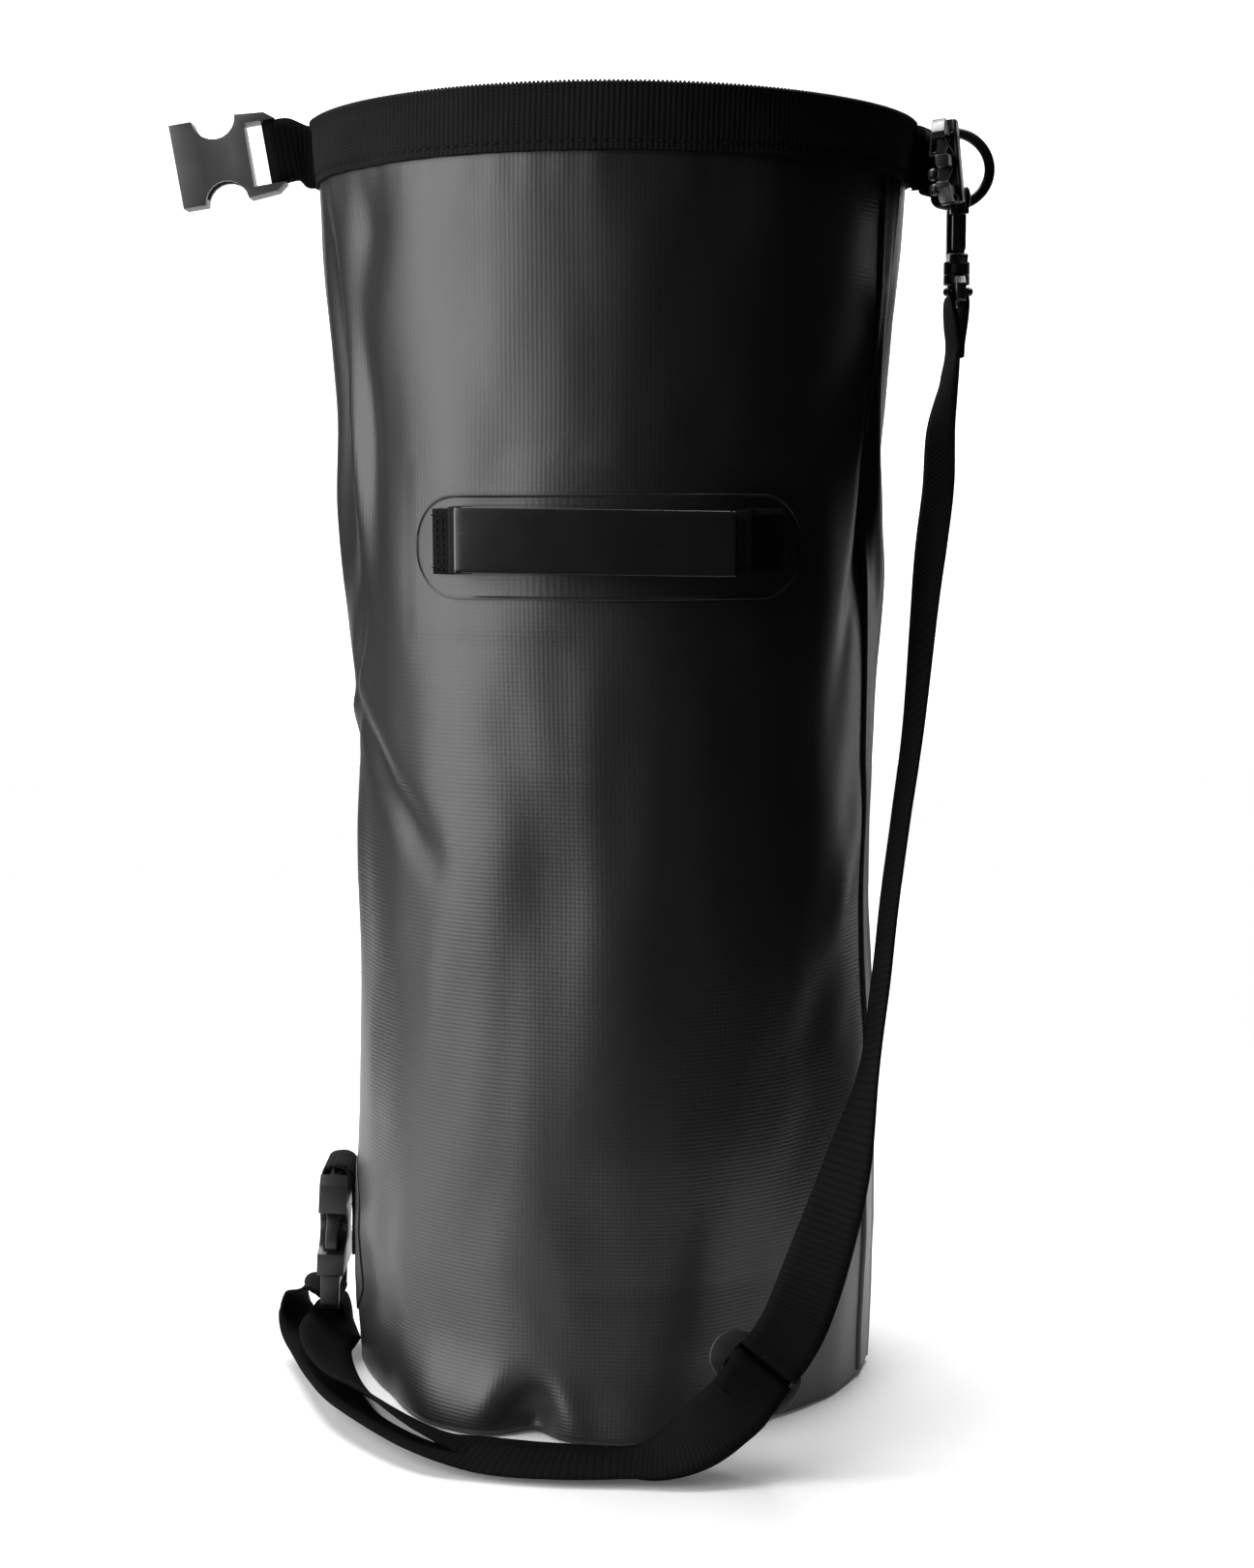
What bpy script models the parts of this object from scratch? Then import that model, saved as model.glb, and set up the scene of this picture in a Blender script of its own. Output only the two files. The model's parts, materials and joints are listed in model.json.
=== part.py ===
"""Roll-top dry bag with a carry handle and a shoulder strap, standing open and unrolled.

Metres, +Z up. The origin is the centre of the base on the ground, the handle faces -Y,
the closure socket is on the -X side and the strap's snap hook on the +X side.
"""
import bisect
import math

import bmesh
import bpy
from mathutils import Matrix, Vector

# ---- bag ----
BAG_RADIUS = 0.110          # outside radius of the round lower part
BAG_HEIGHT = 0.521          # floor to the rim, unrolled
TARP = 0.0012               # wall of the coated cloth
FLARE_START = 0.28          # height where the round tube starts to flatten
MOUTH_HALF_WIDTH = 0.1235
MOUTH_PINCH = 0.62          # section exponent at the mouth, 0.5 is an ellipse
BASE_FLANGE = 0.020         # upturned edge of the base panel
SEAM_START = 0.131          # girth from the front centre to the lap seam
SEAM_WIDTH = 0.020
SEAM_THICKNESS = 0.0006
SEAM_FOOT = 0.004           # floor to the lower end of the lap seam
STIFFENER_WIDTH = 0.020
STIFFENER_LENGTH = 0.30
STIFFENER_THICKNESS = 0.0010

# ---- webbing ----
WEB_WIDTH = 0.025
WEB_THICKNESS = 0.0015
GAP = 0.0003                # clearance between pieces that touch

# ---- side-release buckles, measured from the centre of the webbing bar ----
SOCKET_LENGTH = 0.0435
SOCKET_WIDTH = 0.034
SOCKET_WAIST = 0.017
SOCKET_THICKNESS = 0.0115
SCALLOP_START = 0.0140
SCALLOP_END = 0.0322
POCKET_WIDTH = 0.0284
POCKET_DEPTH = 0.0280
POCKET_THICKNESS = 0.0066
SLOT_WIDTH = WEB_WIDTH + 0.0008
SLOT_LENGTH = 0.0092
BAR_LENGTHWISE = 0.0040
BAR_THICKNESS = 0.0036
PLUG_WIDTH = 0.033
PLUG_THICKNESS = 0.0080
PLUG_SHOULDER = 0.0135      # bar centre to the face that meets the socket's mouth
PLUG_SLOT_LENGTH = 0.0070
GUIDE_LENGTH = 0.0205
GUIDE_WIDTH = 0.0044
PRONG_LENGTH = 0.0270
PRONG_THICKNESS = 0.0052
PRONG_OUTER = POCKET_WIDTH / 2 - 0.0008
PRONG_BEAM = 0.0040
BARB = 0.0028               # how far a barb stands out past its arm
ARM_ROOT_GAP = 0.0006
BAR_REACH = math.hypot(BAR_LENGTHWISE, BAR_THICKNESS) / 2
FOLD_RADIUS = BAR_REACH + GAP + WEB_THICKNESS / 2

# ---- rim ends ----
SOCKET_BAR_REACH = 0.0160   # rim's end to the socket's bar
SOCKET_BAR_DROP = 0.0107    # top of the rim to the socket's bar
PLUG_BAR_REACH = 0.0141
PLUG_BAR_DROP = 0.0170
LEFT_BAR = Vector((-MOUTH_HALF_WIDTH - SOCKET_BAR_REACH, 0.0, BAG_HEIGHT - SOCKET_BAR_DROP))
LEFT_DROOP = math.radians(9.5)
RIM_MID_HEIGHT = BAG_HEIGHT - WEB_WIDTH / 2
LOOP_CLEARANCE = 0.0018     # rim band's end to the root of a webbing loop
PLUG_BAR = Vector((MOUTH_HALF_WIDTH + PLUG_BAR_REACH, -0.0130, BAG_HEIGHT - PLUG_BAR_DROP))
PLUG_DIRECTION = Vector((-0.22, -0.97, -0.10))
PLUG_UP = Vector((-0.10, 0.0, 0.99))

# ---- D-ring and snap hook ----
RING_WIRE = 0.0020
RING_CLEARANCE = 0.0023     # webbing's edge to the middle of the wire
RING_HALF_WIDTH = WEB_WIDTH / 2 + RING_CLEARANCE
RING_DEPTH = 0.0196
RING_BAR_REACH = 0.0131
RING_BAR_DROP = 0.0165
RING_BAR = Vector((MOUTH_HALF_WIDTH + RING_BAR_REACH, 0.0, BAG_HEIGHT - RING_BAR_DROP))
RING_TILT = math.radians(13)
HOOK_REACH = 0.0195         # rim's end to the hook's centre plane
HOOK_X = MOUTH_HALF_WIDTH + HOOK_REACH
HOOK_THICKNESS = 0.0075
HOOK_INNER = 0.0036
HOOK_OUTER = 0.0074
HOOK_LENGTH = 0.0243        # bow centre to the underside of the base
HOOK_BASE = 0.0045
HOOK_REST = 0.00034         # ring's top to the bow, at the bow's outer edge
HOOK_GATE = 0.0030
COLLAR_RADIUS = 0.0055
COLLAR_HEIGHT = 0.0040
SWIVEL_PIN = 0.0024
SWIVEL_CLEARANCE = 0.0004
EYE_BAR = 0.0030
EYE_SLOT = 0.0054
EYE_RAIL = 0.0032
EYE_THICKNESS = 0.0040

# ---- tri-glide ----
SLIDER_STANDOFF = 0.0305    # front of the bag to the slider's centre
SLIDER_CENTRE = Vector((0.0555, -BAG_RADIUS - SLIDER_STANDOFF, 0.0385))
SLIDER_ALONG = Vector((-0.62, -0.17, -0.77))
SLIDER_ACROSS = Vector((0.78, -0.16, -0.60))
SLIDER_HALF_LENGTH = 0.0110
SLIDER_END_BAR = 0.0034
SLIDER_CENTRE_BAR = 0.0035
SLIDER_RAIL = 0.0036
SLIDER_THICKNESS = 0.0026

# ---- lower anchor ----
LOWER_BAR_REACH = 0.0104    # side of the bag to the bar
LOWER_BAR = Vector((-BAG_RADIUS - LOWER_BAR_REACH, 0.0, 0.0775))
LOWER_TILT = math.radians(2.5)
ANCHOR_HEIGHT = 0.067
ANCHOR_LENGTH = 0.060
ANCHOR_CORNER = 0.020
ANCHOR_MID_HEIGHT = 0.0537
PATCH_THICKNESS = 0.0008

# ---- handle ----
HANDLE_HEIGHT = 0.3510
HANDLE_PATCH_MID = 0.3485
HANDLE_PATCH_LENGTH = 0.162
HANDLE_PATCH_HEIGHT = 0.037
BACKING_LENGTH = 0.195
BACKING_HEIGHT = 0.065
HANDLE_END_OUTER = 0.0735   # girth from the front centre to the outer end of a tab
HANDLE_END_INNER = 0.0615   # girth to where the webbing leaves the patch
HANDLE_STANDOFF = 0.0135
SLEEVE_LEFT = -0.0540
SLEEVE_RIGHT = 0.0450
SLEEVE_THICKNESS = 0.0042
SLEEVE_WALL = 0.0008

TUBE_SIDES = 56
PARTS = "roll_top_dry_bag"
CUTTERS = "cutters"

MATERIALS = {
    "coated_cloth": ((0.022, 0.023, 0.025), 0.55, 0.0),
    "webbing": ((0.012, 0.012, 0.012), 0.85, 0.0),
    "buckle_plastic": ((0.018, 0.018, 0.019), 0.38, 0.0),
    "rubber_grip": ((0.010, 0.010, 0.011), 0.30, 0.0),
    "stiffener": ((0.030, 0.030, 0.032), 0.50, 0.0),
    "coated_metal": ((0.015, 0.015, 0.016), 0.35, 0.2),
}


# ------------------------------------------------------------------ scene and materials
def clear_scene():
    for obj in list(bpy.data.objects):
        bpy.data.objects.remove(obj, do_unlink=True)


def get_collection(name):
    found = bpy.data.collections.get(name)
    if found is None:
        found = bpy.data.collections.new(name)
        bpy.context.scene.collection.children.link(found)
    return found


def get_material(name):
    found = bpy.data.materials.get(name)
    if found:
        return found
    colour, roughness, metallic = MATERIALS[name]
    made = bpy.data.materials.new(name)
    made.use_nodes = True
    shader = made.node_tree.nodes["Principled BSDF"]
    shader.inputs["Base Color"].default_value = (*colour, 1.0)
    shader.inputs["Roughness"].default_value = roughness
    shader.inputs["Metallic"].default_value = metallic
    return made


def add_object(name, data, material=None, parent=None, matrix=None):
    obj = bpy.data.objects.new(name, data)
    get_collection(PARTS if material else CUTTERS).objects.link(obj)
    if material:
        data.materials.append(get_material(material))
    else:
        obj.hide_render = True
        obj.display_type = "WIRE"
    if parent:
        obj.parent = parent
    if matrix:
        obj.matrix_local = matrix
    return obj


def add_pivot(name, matrix, parent=None):
    """An empty on a joint's axis, which carries the pieces that turn about it."""
    pivot = bpy.data.objects.new(name, None)
    get_collection(PARTS).objects.link(pivot)
    pivot.empty_display_size = 0.01
    pivot.parent = parent
    pivot.matrix_local = matrix
    return pivot


def frame(origin, along, across):
    """Axes at a point: X along, Y as near across as it can be, Z square to both."""
    x = Vector(along).normalized()
    z = x.cross(Vector(across)).normalized()
    y = z.cross(x)
    return Matrix.Translation(origin) @ Matrix((x, y, z)).transposed().to_4x4()


# ------------------------------------------------------------------ shapes
def mesh_from_rows(name, rows, closed=False):
    """An open surface through rows of points; closed joins the last column to the first."""
    bm = bmesh.new()
    grid = [[bm.verts.new(point) for point in row] for row in rows]
    columns = len(rows[0])
    for low, high in zip(grid, grid[1:]):
        for i in range(columns if closed else columns - 1):
            j = (i + 1) % columns
            bm.faces.new((low[i], low[j], high[j], high[i]))
    mesh = bpy.data.meshes.new(name)
    bm.to_mesh(mesh)
    bm.free()
    return mesh


def add_shell(name, rows, thickness, material, side=0.0, closed=False, parent=None):
    """A sheet of the given thickness; side is -1 inside the surface, 0 on it, 1 outside it."""
    obj = add_object(name, mesh_from_rows(name, rows, closed), material, parent)
    solidify = obj.modifiers.new("thickness", "SOLIDIFY")
    solidify.thickness = thickness
    solidify.offset = side
    solidify.use_even_offset = True
    return obj


def catmull_rom(values, samples):
    """A smooth curve through a list of vectors, read at about this many places."""
    padded = [values[0] * 2 - values[1], *values, values[-1] * 2 - values[-2]]
    spans = len(values) - 1
    curve = []
    for k in range(samples + 1):
        place = k / samples * spans
        i = min(int(place), spans - 1)
        t = place - i
        a, b, c, d = padded[i:i + 4]
        curve.append(0.5 * ((2 * b) + (c - a) * t + (2 * a - 5 * b + 4 * c - d) * t * t
                            + (3 * b - a - 3 * c + d) * t ** 3))
    return curve


def add_ribbon(name, route, samples, square=True):
    """Webbing along a route of (centre, across) pairs; square turns across square to the route."""
    centres = catmull_rom([Vector(centre) for centre, across in route], samples)
    acrosses = catmull_rom([Vector(across).normalized() for centre, across in route], samples)
    rows = []
    for i, (centre, across) in enumerate(zip(centres, acrosses)):
        ahead = centres[min(i + 1, samples)] - centres[max(i - 1, 0)]
        if square:
            across = across - ahead * across.dot(ahead) / ahead.length_squared
        half = across.normalized() * WEB_WIDTH / 2
        rows.append((centre - half, centre + half))
    return add_shell(name, rows, WEB_THICKNESS, "webbing")


def solid_from_outline(name, loops, thickness, material=None, parent=None, matrix=None):
    """A flat piece in the XY plane: the first loop is its edge, the others are holes."""
    curve = bpy.data.curves.new(name, "CURVE")
    curve.dimensions = "2D"
    curve.fill_mode = "BOTH"
    curve.extrude = thickness / 2
    for loop in loops:
        spline = curve.splines.new("POLY")
        spline.points.add(len(loop) - 1)
        for point, (x, y) in zip(spline.points, loop):
            point.co = (x, y, 0.0, 1.0)
        spline.use_cyclic_u = True
    guide = bpy.data.objects.new(name + "_outline", curve)
    bpy.context.scene.collection.objects.link(guide)
    depsgraph = bpy.context.evaluated_depsgraph_get()
    mesh = bpy.data.meshes.new_from_object(guide.evaluated_get(depsgraph))
    bpy.data.objects.remove(guide, do_unlink=True)
    bm = bmesh.new()
    bm.from_mesh(mesh)
    bmesh.ops.remove_doubles(bm, verts=bm.verts, dist=1e-6)
    bmesh.ops.recalc_face_normals(bm, faces=bm.faces)
    bm.to_mesh(mesh)
    bm.free()
    mesh.name = name
    mesh.materials.clear()
    return add_object(name, mesh, material, parent, matrix)


def box_object(name, low, high, material=None, parent=None):
    """A box between two corners, in its parent's axes."""
    low, high = Vector(low), Vector(high)
    bm = bmesh.new()
    bmesh.ops.create_cube(bm, size=1.0)
    bmesh.ops.scale(bm, verts=bm.verts, vec=high - low)
    bmesh.ops.translate(bm, verts=bm.verts, vec=(low + high) / 2)
    mesh = bpy.data.meshes.new(name)
    bm.to_mesh(mesh)
    bm.free()
    return add_object(name, mesh, material, parent)


def cylinder_object(name, radius, low, high, sides=24, material=None, parent=None):
    """A cylinder along Z, from low to high."""
    bm = bmesh.new()
    bmesh.ops.create_cone(bm, cap_ends=True, segments=sides, radius1=radius, radius2=radius,
                          depth=high - low)
    bmesh.ops.translate(bm, verts=bm.verts, vec=(0.0, 0.0, (low + high) / 2))
    mesh = bpy.data.meshes.new(name)
    bm.to_mesh(mesh)
    bm.free()
    return add_object(name, mesh, material, parent)


def combine(target, other, operation):
    """Cut or join one object with another, which becomes a hidden guide."""
    boolean = target.modifiers.new(other.name, "BOOLEAN")
    boolean.operation = operation
    boolean.object = other
    boolean.solver = "EXACT"


def arc(centre, radius, start, end, steps):
    """Points of an arc; the angles are in degrees."""
    angles = [math.radians(start + (end - start) * k / steps) for k in range(steps + 1)]
    return [(centre[0] + radius * math.cos(a), centre[1] + radius * math.sin(a)) for a in angles]


def smooth_by_angle(obj, degrees=35):
    obj.data.shade_smooth()
    obj.data.set_sharp_from_angle(angle=math.radians(degrees))


# ------------------------------------------------------------------ the bag's wall
def half_section(half_width, half_depth, pinch, count=90):
    """Right half of a section, from the front centre round to the back centre."""
    points = []
    for k in range(count + 1):
        turn = math.pi * k / count - math.pi / 2
        depth = abs(math.sin(turn)) ** (2 * pinch)
        points.append(Vector((half_width * math.cos(turn), math.copysign(half_depth * depth, turn))))
    return points


def path_length(points):
    return sum((b - a).length for a, b in zip(points, points[1:]))


class Wall:
    """The bag's outer surface: a round tube that flattens towards its mouth at constant girth."""

    def __init__(self):
        self.sections = {}
        self.half_girth = path_length(half_section(BAG_RADIUS, BAG_RADIUS, 0.5))
        flare = BAG_HEIGHT - WEB_WIDTH - FLARE_START
        self.heights = [*(FLARE_START * k / 4 for k in range(5)),
                        *(FLARE_START + flare * k / 5 for k in range(1, 6)), BAG_HEIGHT]

    def section(self, height):
        key = round(height, 6)
        if key not in self.sections:
            share = max(0.0, (height - FLARE_START) / (BAG_HEIGHT - FLARE_START))
            half_width = BAG_RADIUS + (MOUTH_HALF_WIDTH - BAG_RADIUS) * share
            pinch = 0.5 + (MOUTH_PINCH - 0.5) * share
            low, high = BAG_RADIUS * 0.5, BAG_RADIUS * 1.3
            for _ in range(30):
                middle = (low + high) / 2
                if path_length(half_section(half_width, middle, pinch)) < self.half_girth:
                    low = middle
                else:
                    high = middle
            points = half_section(half_width, middle, pinch)
            lengths = [0.0]
            for a, b in zip(points, points[1:]):
                lengths.append(lengths[-1] + (b - a).length)
            self.sections[key] = (points, lengths)
        return self.sections[key]

    def point(self, girth, height, out=0.0):
        """The point at this girth from the front centre (positive towards +X) and height."""
        points, lengths = self.section(height)
        half = lengths[-1]
        girth = (girth + half) % (2 * half) - half
        side = math.copysign(1.0, girth)
        place = min(abs(girth), half - 1e-9)
        i = max(1, bisect.bisect_right(lengths, place))
        t = (place - lengths[i - 1]) / (lengths[i] - lengths[i - 1])
        flat = points[i - 1].lerp(points[i], t)
        tangent = points[min(i + 1, len(points) - 1)] - points[max(i - 2, 0)]
        normal = Vector((tangent.y, -tangent.x)).normalized()
        flat = flat + normal * out
        return Vector((side * flat.x, flat.y, height))

    def patch(self, middle, height, length, tall, corner, out, columns, rows):
        """Rows of points for a patch with rounded corners that lies on the wall."""
        straight = length / 2 - corner
        grid = []
        for c in range(columns + 1):
            reach = -math.cos(math.pi * c / columns) * (length / 2) * 0.998
            past = max(0.0, abs(reach) - straight)
            half_tall = tall / 2 - corner + math.sqrt(corner ** 2 - past ** 2)
            grid.append([self.point(middle + reach, height + half_tall * (2 * r / rows - 1), out)
                         for r in range(rows + 1)])
        return grid

    def band(self, start, end, heights, out, columns):
        """Rows of points for an upright band of the wall."""
        return [[self.point(start + (end - start) * c / columns, height, out) for height in heights]
                for c in range(columns + 1)]


def build_bag(wall):
    girth = 2 * wall.half_girth
    rows = [[wall.point(girth * k / TUBE_SIDES, height) for k in range(TUBE_SIDES)]
            for height in wall.heights]
    tube = add_shell("body_tube", rows, TARP, "coated_cloth", side=-1.0, closed=True)
    smooth_by_angle(tube)

    inside = BAG_RADIUS - TARP - GAP - 0.0003
    profile = [(0.0, 0.0), (inside, 0.0), (inside, BASE_FLANGE), (inside - TARP, BASE_FLANGE),
               (inside - TARP, TARP), (0.0, TARP)]
    bm = bmesh.new()
    ring = [bm.verts.new((x, 0.0, z)) for x, z in profile]
    edges = [bm.edges.new(pair) for pair in zip(ring, ring[1:])]
    bmesh.ops.spin(bm, geom=ring + edges, cent=(0, 0, 0), axis=(0, 0, 1), angle=math.tau,
                   steps=TUBE_SIDES, use_merge=True)
    bmesh.ops.remove_doubles(bm, verts=bm.verts, dist=1e-6)
    bmesh.ops.recalc_face_normals(bm, faces=bm.faces)
    mesh = bpy.data.meshes.new("base_panel")
    bm.to_mesh(mesh)
    bm.free()
    add_object("base_panel", mesh, "coated_cloth")

    top = BAG_HEIGHT - WEB_WIDTH - 0.001
    heights = [SEAM_FOOT, *(height for height in wall.heights if SEAM_FOOT < height < top), top]
    add_shell("side_seam_tape", wall.band(SEAM_START, SEAM_START + SEAM_WIDTH, heights, GAP, 4),
              SEAM_THICKNESS, "coated_cloth", side=-1.0)


def build_rim(wall):
    quarter = wall.half_girth / 2
    low, high = BAG_HEIGHT - WEB_WIDTH, BAG_HEIGHT
    half = quarter - 0.0012
    for name, middle in (("rim_webbing_front", 0.0), ("rim_webbing_back", wall.half_girth)):
        add_shell(name, wall.band(middle - half, middle + half, (low, high), GAP, 28),
                  WEB_THICKNESS, "webbing", side=-1.0)
    middle_height = BAG_HEIGHT - WEB_WIDTH / 2
    add_shell("rim_stiffener",
              wall.band(wall.half_girth - STIFFENER_LENGTH / 2, wall.half_girth + STIFFENER_LENGTH / 2,
                        (middle_height - STIFFENER_WIDTH / 2, middle_height + STIFFENER_WIDTH / 2),
                        -TARP - 2 * GAP, 20),
              STIFFENER_THICKNESS, "stiffener", side=1.0)


def webbing_fold(name, bar, bar_across, anchor, radius=FOLD_RADIUS):
    """Webbing folded round a bar, its two legs closing up at an upright anchor."""
    leg = Vector(anchor) - bar
    back = (leg - bar_across * leg.dot(bar_across)).normalized()
    normal = back.cross(bar_across).normalized()
    half_gap = (WEB_THICKNESS + GAP) / 2
    turn = [(bar + normal * radius * math.cos(math.radians(a))
             - back * radius * math.sin(math.radians(a)), bar_across)
            for a in (0, 30, 60, 90, 120, 150, 180)]
    near, upright = bar + back * leg.length * 0.55, Vector((0.0, 0.0, 1.0))
    spread = normal * (half_gap + radius) / 2
    route = [(Vector(anchor) + normal * half_gap, upright), (near + spread, bar_across), *turn,
             (near - spread, bar_across), (Vector(anchor) - normal * half_gap, upright)]
    return add_ribbon(name, route, 30, square=False)


# ------------------------------------------------------------------ buckles
def socket_outline():
    """Edge of the socket: a frame, a waist between two scallops, and the mouth."""
    end, mouth = -BAR_LENGTHWISE / 2, SOCKET_LENGTH - BAR_LENGTHWISE / 2
    half, waist = SOCKET_WIDTH / 2, SOCKET_WAIST / 2
    middle, chord = (SCALLOP_START + SCALLOP_END) / 2, (SCALLOP_END - SCALLOP_START) / 2
    depth = half - waist
    radius = (chord ** 2 + depth ** 2) / (2 * depth)
    spread = math.degrees(math.asin(chord / radius))
    scallop = arc((middle, waist + radius), radius, -90 - spread, -90 + spread, 10)
    upper = [(end, half - 0.004), (end + 0.004, half - 0.001), *scallop, (mouth, half)]
    return upper + [(x, -y) for x, y in reversed(upper)]


def build_socket(name, pivot):
    """The female half. The pivot's X runs from the bar to the mouth, its Y along the bar."""
    inner, half_slot = BAR_LENGTHWISE / 2, SLOT_WIDTH / 2
    mouth = SOCKET_LENGTH - BAR_LENGTHWISE / 2
    slot = [(inner, -half_slot), (inner + SLOT_LENGTH, -half_slot),
            (inner + SLOT_LENGTH, half_slot), (inner, half_slot)]
    socket = solid_from_outline(name, [socket_outline(), slot], SOCKET_THICKNESS,
                                "buckle_plastic", pivot)
    pocket = box_object(name + "_pocket",
                        (mouth - POCKET_DEPTH, -POCKET_WIDTH / 2, -POCKET_THICKNESS / 2),
                        (mouth + 0.001, POCKET_WIDTH / 2, POCKET_THICKNESS / 2), None, pivot)
    combine(socket, pocket, "DIFFERENCE")
    for side, label in ((1, "_bar_top"), (-1, "_bar_bottom")):
        near, far = side * BAR_THICKNESS / 2, side * SOCKET_THICKNESS
        cutter = box_object(name + label, (-inner - 0.001, -half_slot, min(near, far)),
                            (inner + 0.0005, half_slot, max(near, far)), None, pivot)
        combine(socket, cutter, "DIFFERENCE")
    return socket


def plug_arm_outline():
    """The upper spring arm, in axes centred on its root."""
    outer, inner = PRONG_OUTER, PRONG_OUTER - PRONG_BEAM
    root, tip = ARM_ROOT_GAP, PRONG_LENGTH
    return [(root, inner), (root, outer), (root + 0.0106, outer), (root + 0.0112, outer + BARB),
            (tip - 0.0100, outer + BARB - 0.0002), (tip - 0.0045, outer + 0.0005),
            (tip, inner + 0.0012), (tip - 0.0008, inner - 0.0010), (tip - 0.0100, inner + 0.0010),
            (root + 0.0110, inner + 0.0004)]


def build_plug(name, pivot, local, arm_labels):
    """The male half: a frame with its centre guide, and two spring arms on pivots."""
    half, inner, half_slot = PLUG_WIDTH / 2, BAR_LENGTHWISE / 2, SLOT_WIDTH / 2
    edge = [(-inner, half - 0.003), (-inner + 0.003, half), (PLUG_SHOULDER, half)]
    edge += [(x, -y) for x, y in reversed(edge)]
    slot = [(inner, -half_slot), (inner + PLUG_SLOT_LENGTH, -half_slot),
            (inner + PLUG_SLOT_LENGTH, half_slot), (inner, half_slot)]
    plug = solid_from_outline(name, [edge, slot], PLUG_THICKNESS, "buckle_plastic", pivot, local)
    guide = box_object(name + "_guide", (PLUG_SHOULDER - 0.001, -GUIDE_WIDTH / 2, -PRONG_THICKNESS / 2),
                       (PLUG_SHOULDER + GUIDE_LENGTH, GUIDE_WIDTH / 2, PRONG_THICKNESS / 2))
    guide.parent = pivot
    guide.matrix_local = local
    combine(plug, guide, "UNION")
    for side, label in ((1, "_bar_top"), (-1, "_bar_bottom")):
        near, far = side * BAR_THICKNESS / 2, side * PLUG_THICKNESS
        cutter = box_object(name + label, (-inner - 0.001, -half_slot, min(near, far)),
                            (inner + 0.0005, half_slot, max(near, far)))
        cutter.parent = pivot
        cutter.matrix_local = local
        combine(plug, cutter, "DIFFERENCE")
    root_height = PRONG_OUTER - PRONG_BEAM / 2
    for side, label in zip((1, -1), arm_labels):
        hinge = Vector((PLUG_SHOULDER + ARM_ROOT_GAP, side * root_height, 0.0))
        arm_pivot = add_pivot(name + "_arm_" + label + "_pivot", local @ Matrix.Translation(hinge), pivot)
        loop = [(PLUG_SHOULDER + x - hinge.x, side * y - hinge.y) for x, y in plug_arm_outline()]
        solid_from_outline(name + "_arm_" + label, [loop], PRONG_THICKNESS, "buckle_plastic", arm_pivot)
    return plug


def build_closure():
    droop = Vector((-math.cos(LEFT_DROOP), 0.0, -math.sin(LEFT_DROOP)))
    upright = Vector((-math.sin(LEFT_DROOP), 0.0, math.cos(LEFT_DROOP)))
    pivot = add_pivot("closure_socket_pivot", frame(LEFT_BAR, droop, upright))
    build_socket("closure_socket", pivot)
    rim_reach = MOUTH_HALF_WIDTH + WEB_THICKNESS + LOOP_CLEARANCE
    webbing_fold("left_rim_loop", LEFT_BAR, upright, (-rim_reach, 0.0, RIM_MID_HEIGHT))

    place = frame(PLUG_BAR, PLUG_DIRECTION, PLUG_UP)
    plug_pivot = add_pivot("closure_plug_pivot", place)
    build_plug("closure_plug", plug_pivot, Matrix.Identity(4), ("upper", "lower"))
    plug_upright = place.to_3x3() @ Vector((0, 1, 0))
    webbing_fold("plug_loop", PLUG_BAR, plug_upright, (rim_reach + 0.0015, -0.0066, RIM_MID_HEIGHT - 0.002))


# ------------------------------------------------------------------ D-ring, hook and swivel
def ring_points():
    """Centre line of the D-ring: X away from the bar, Y along it."""
    corner = 0.0026
    bow = arc((0.0, 0.0), 1.0, 90, -90, 14)
    rest = RING_DEPTH - corner - 0.001
    bow = [(corner + 0.001 + rest * x, RING_HALF_WIDTH * y) for x, y in bow]
    top = arc((corner, RING_HALF_WIDTH - corner), corner, 180, 90, 3)
    bottom = [(x, -y) for x, y in reversed(top)]
    return top + bow + bottom


def build_ring():
    outward = Vector((math.cos(RING_TILT), 0.0, -math.sin(RING_TILT)))
    upright = Vector((math.sin(RING_TILT), 0.0, math.cos(RING_TILT)))
    pivot = add_pivot("d_ring_pivot", frame(RING_BAR, outward, upright))
    curve = bpy.data.curves.new("d_ring", "CURVE")
    curve.dimensions = "3D"
    curve.bevel_depth = RING_WIRE
    curve.bevel_resolution = 2
    spline = curve.splines.new("POLY")
    points = ring_points()
    spline.points.add(len(points) - 1)
    for point, (x, y) in zip(spline.points, points):
        point.co = (x, y, 0.0, 1.0)
    spline.use_cyclic_u = True
    add_object("d_ring", curve, "coated_metal", pivot)
    anchor = Vector((MOUTH_HALF_WIDTH + WEB_THICKNESS + LOOP_CLEARANCE, 0.0, RIM_MID_HEIGHT))
    webbing_fold("right_rim_loop", RING_BAR, upright, anchor, RING_WIRE + 2 * GAP + WEB_THICKNESS / 2)


def hook_height():
    """Height of the bow's centre: the bow hangs on the ring's lower run."""
    lean = Matrix.Rotation(RING_TILT, 3, "Y")
    line = [RING_BAR + lean @ Vector((x, 0.0, y)) for x, y in ring_points() if y < 0]
    top = 0.0
    for a, b in zip(line, line[1:]):
        for k in range(11):
            spot = a.lerp(b, k / 10)
            if abs(spot.x - HOOK_X) <= HOOK_THICKNESS / 2:
                top = max(top, spot.z + RING_WIRE * (b - a).length / max(abs(b.x - a.x), 1e-9))
    return top + HOOK_REST - HOOK_INNER


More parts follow.
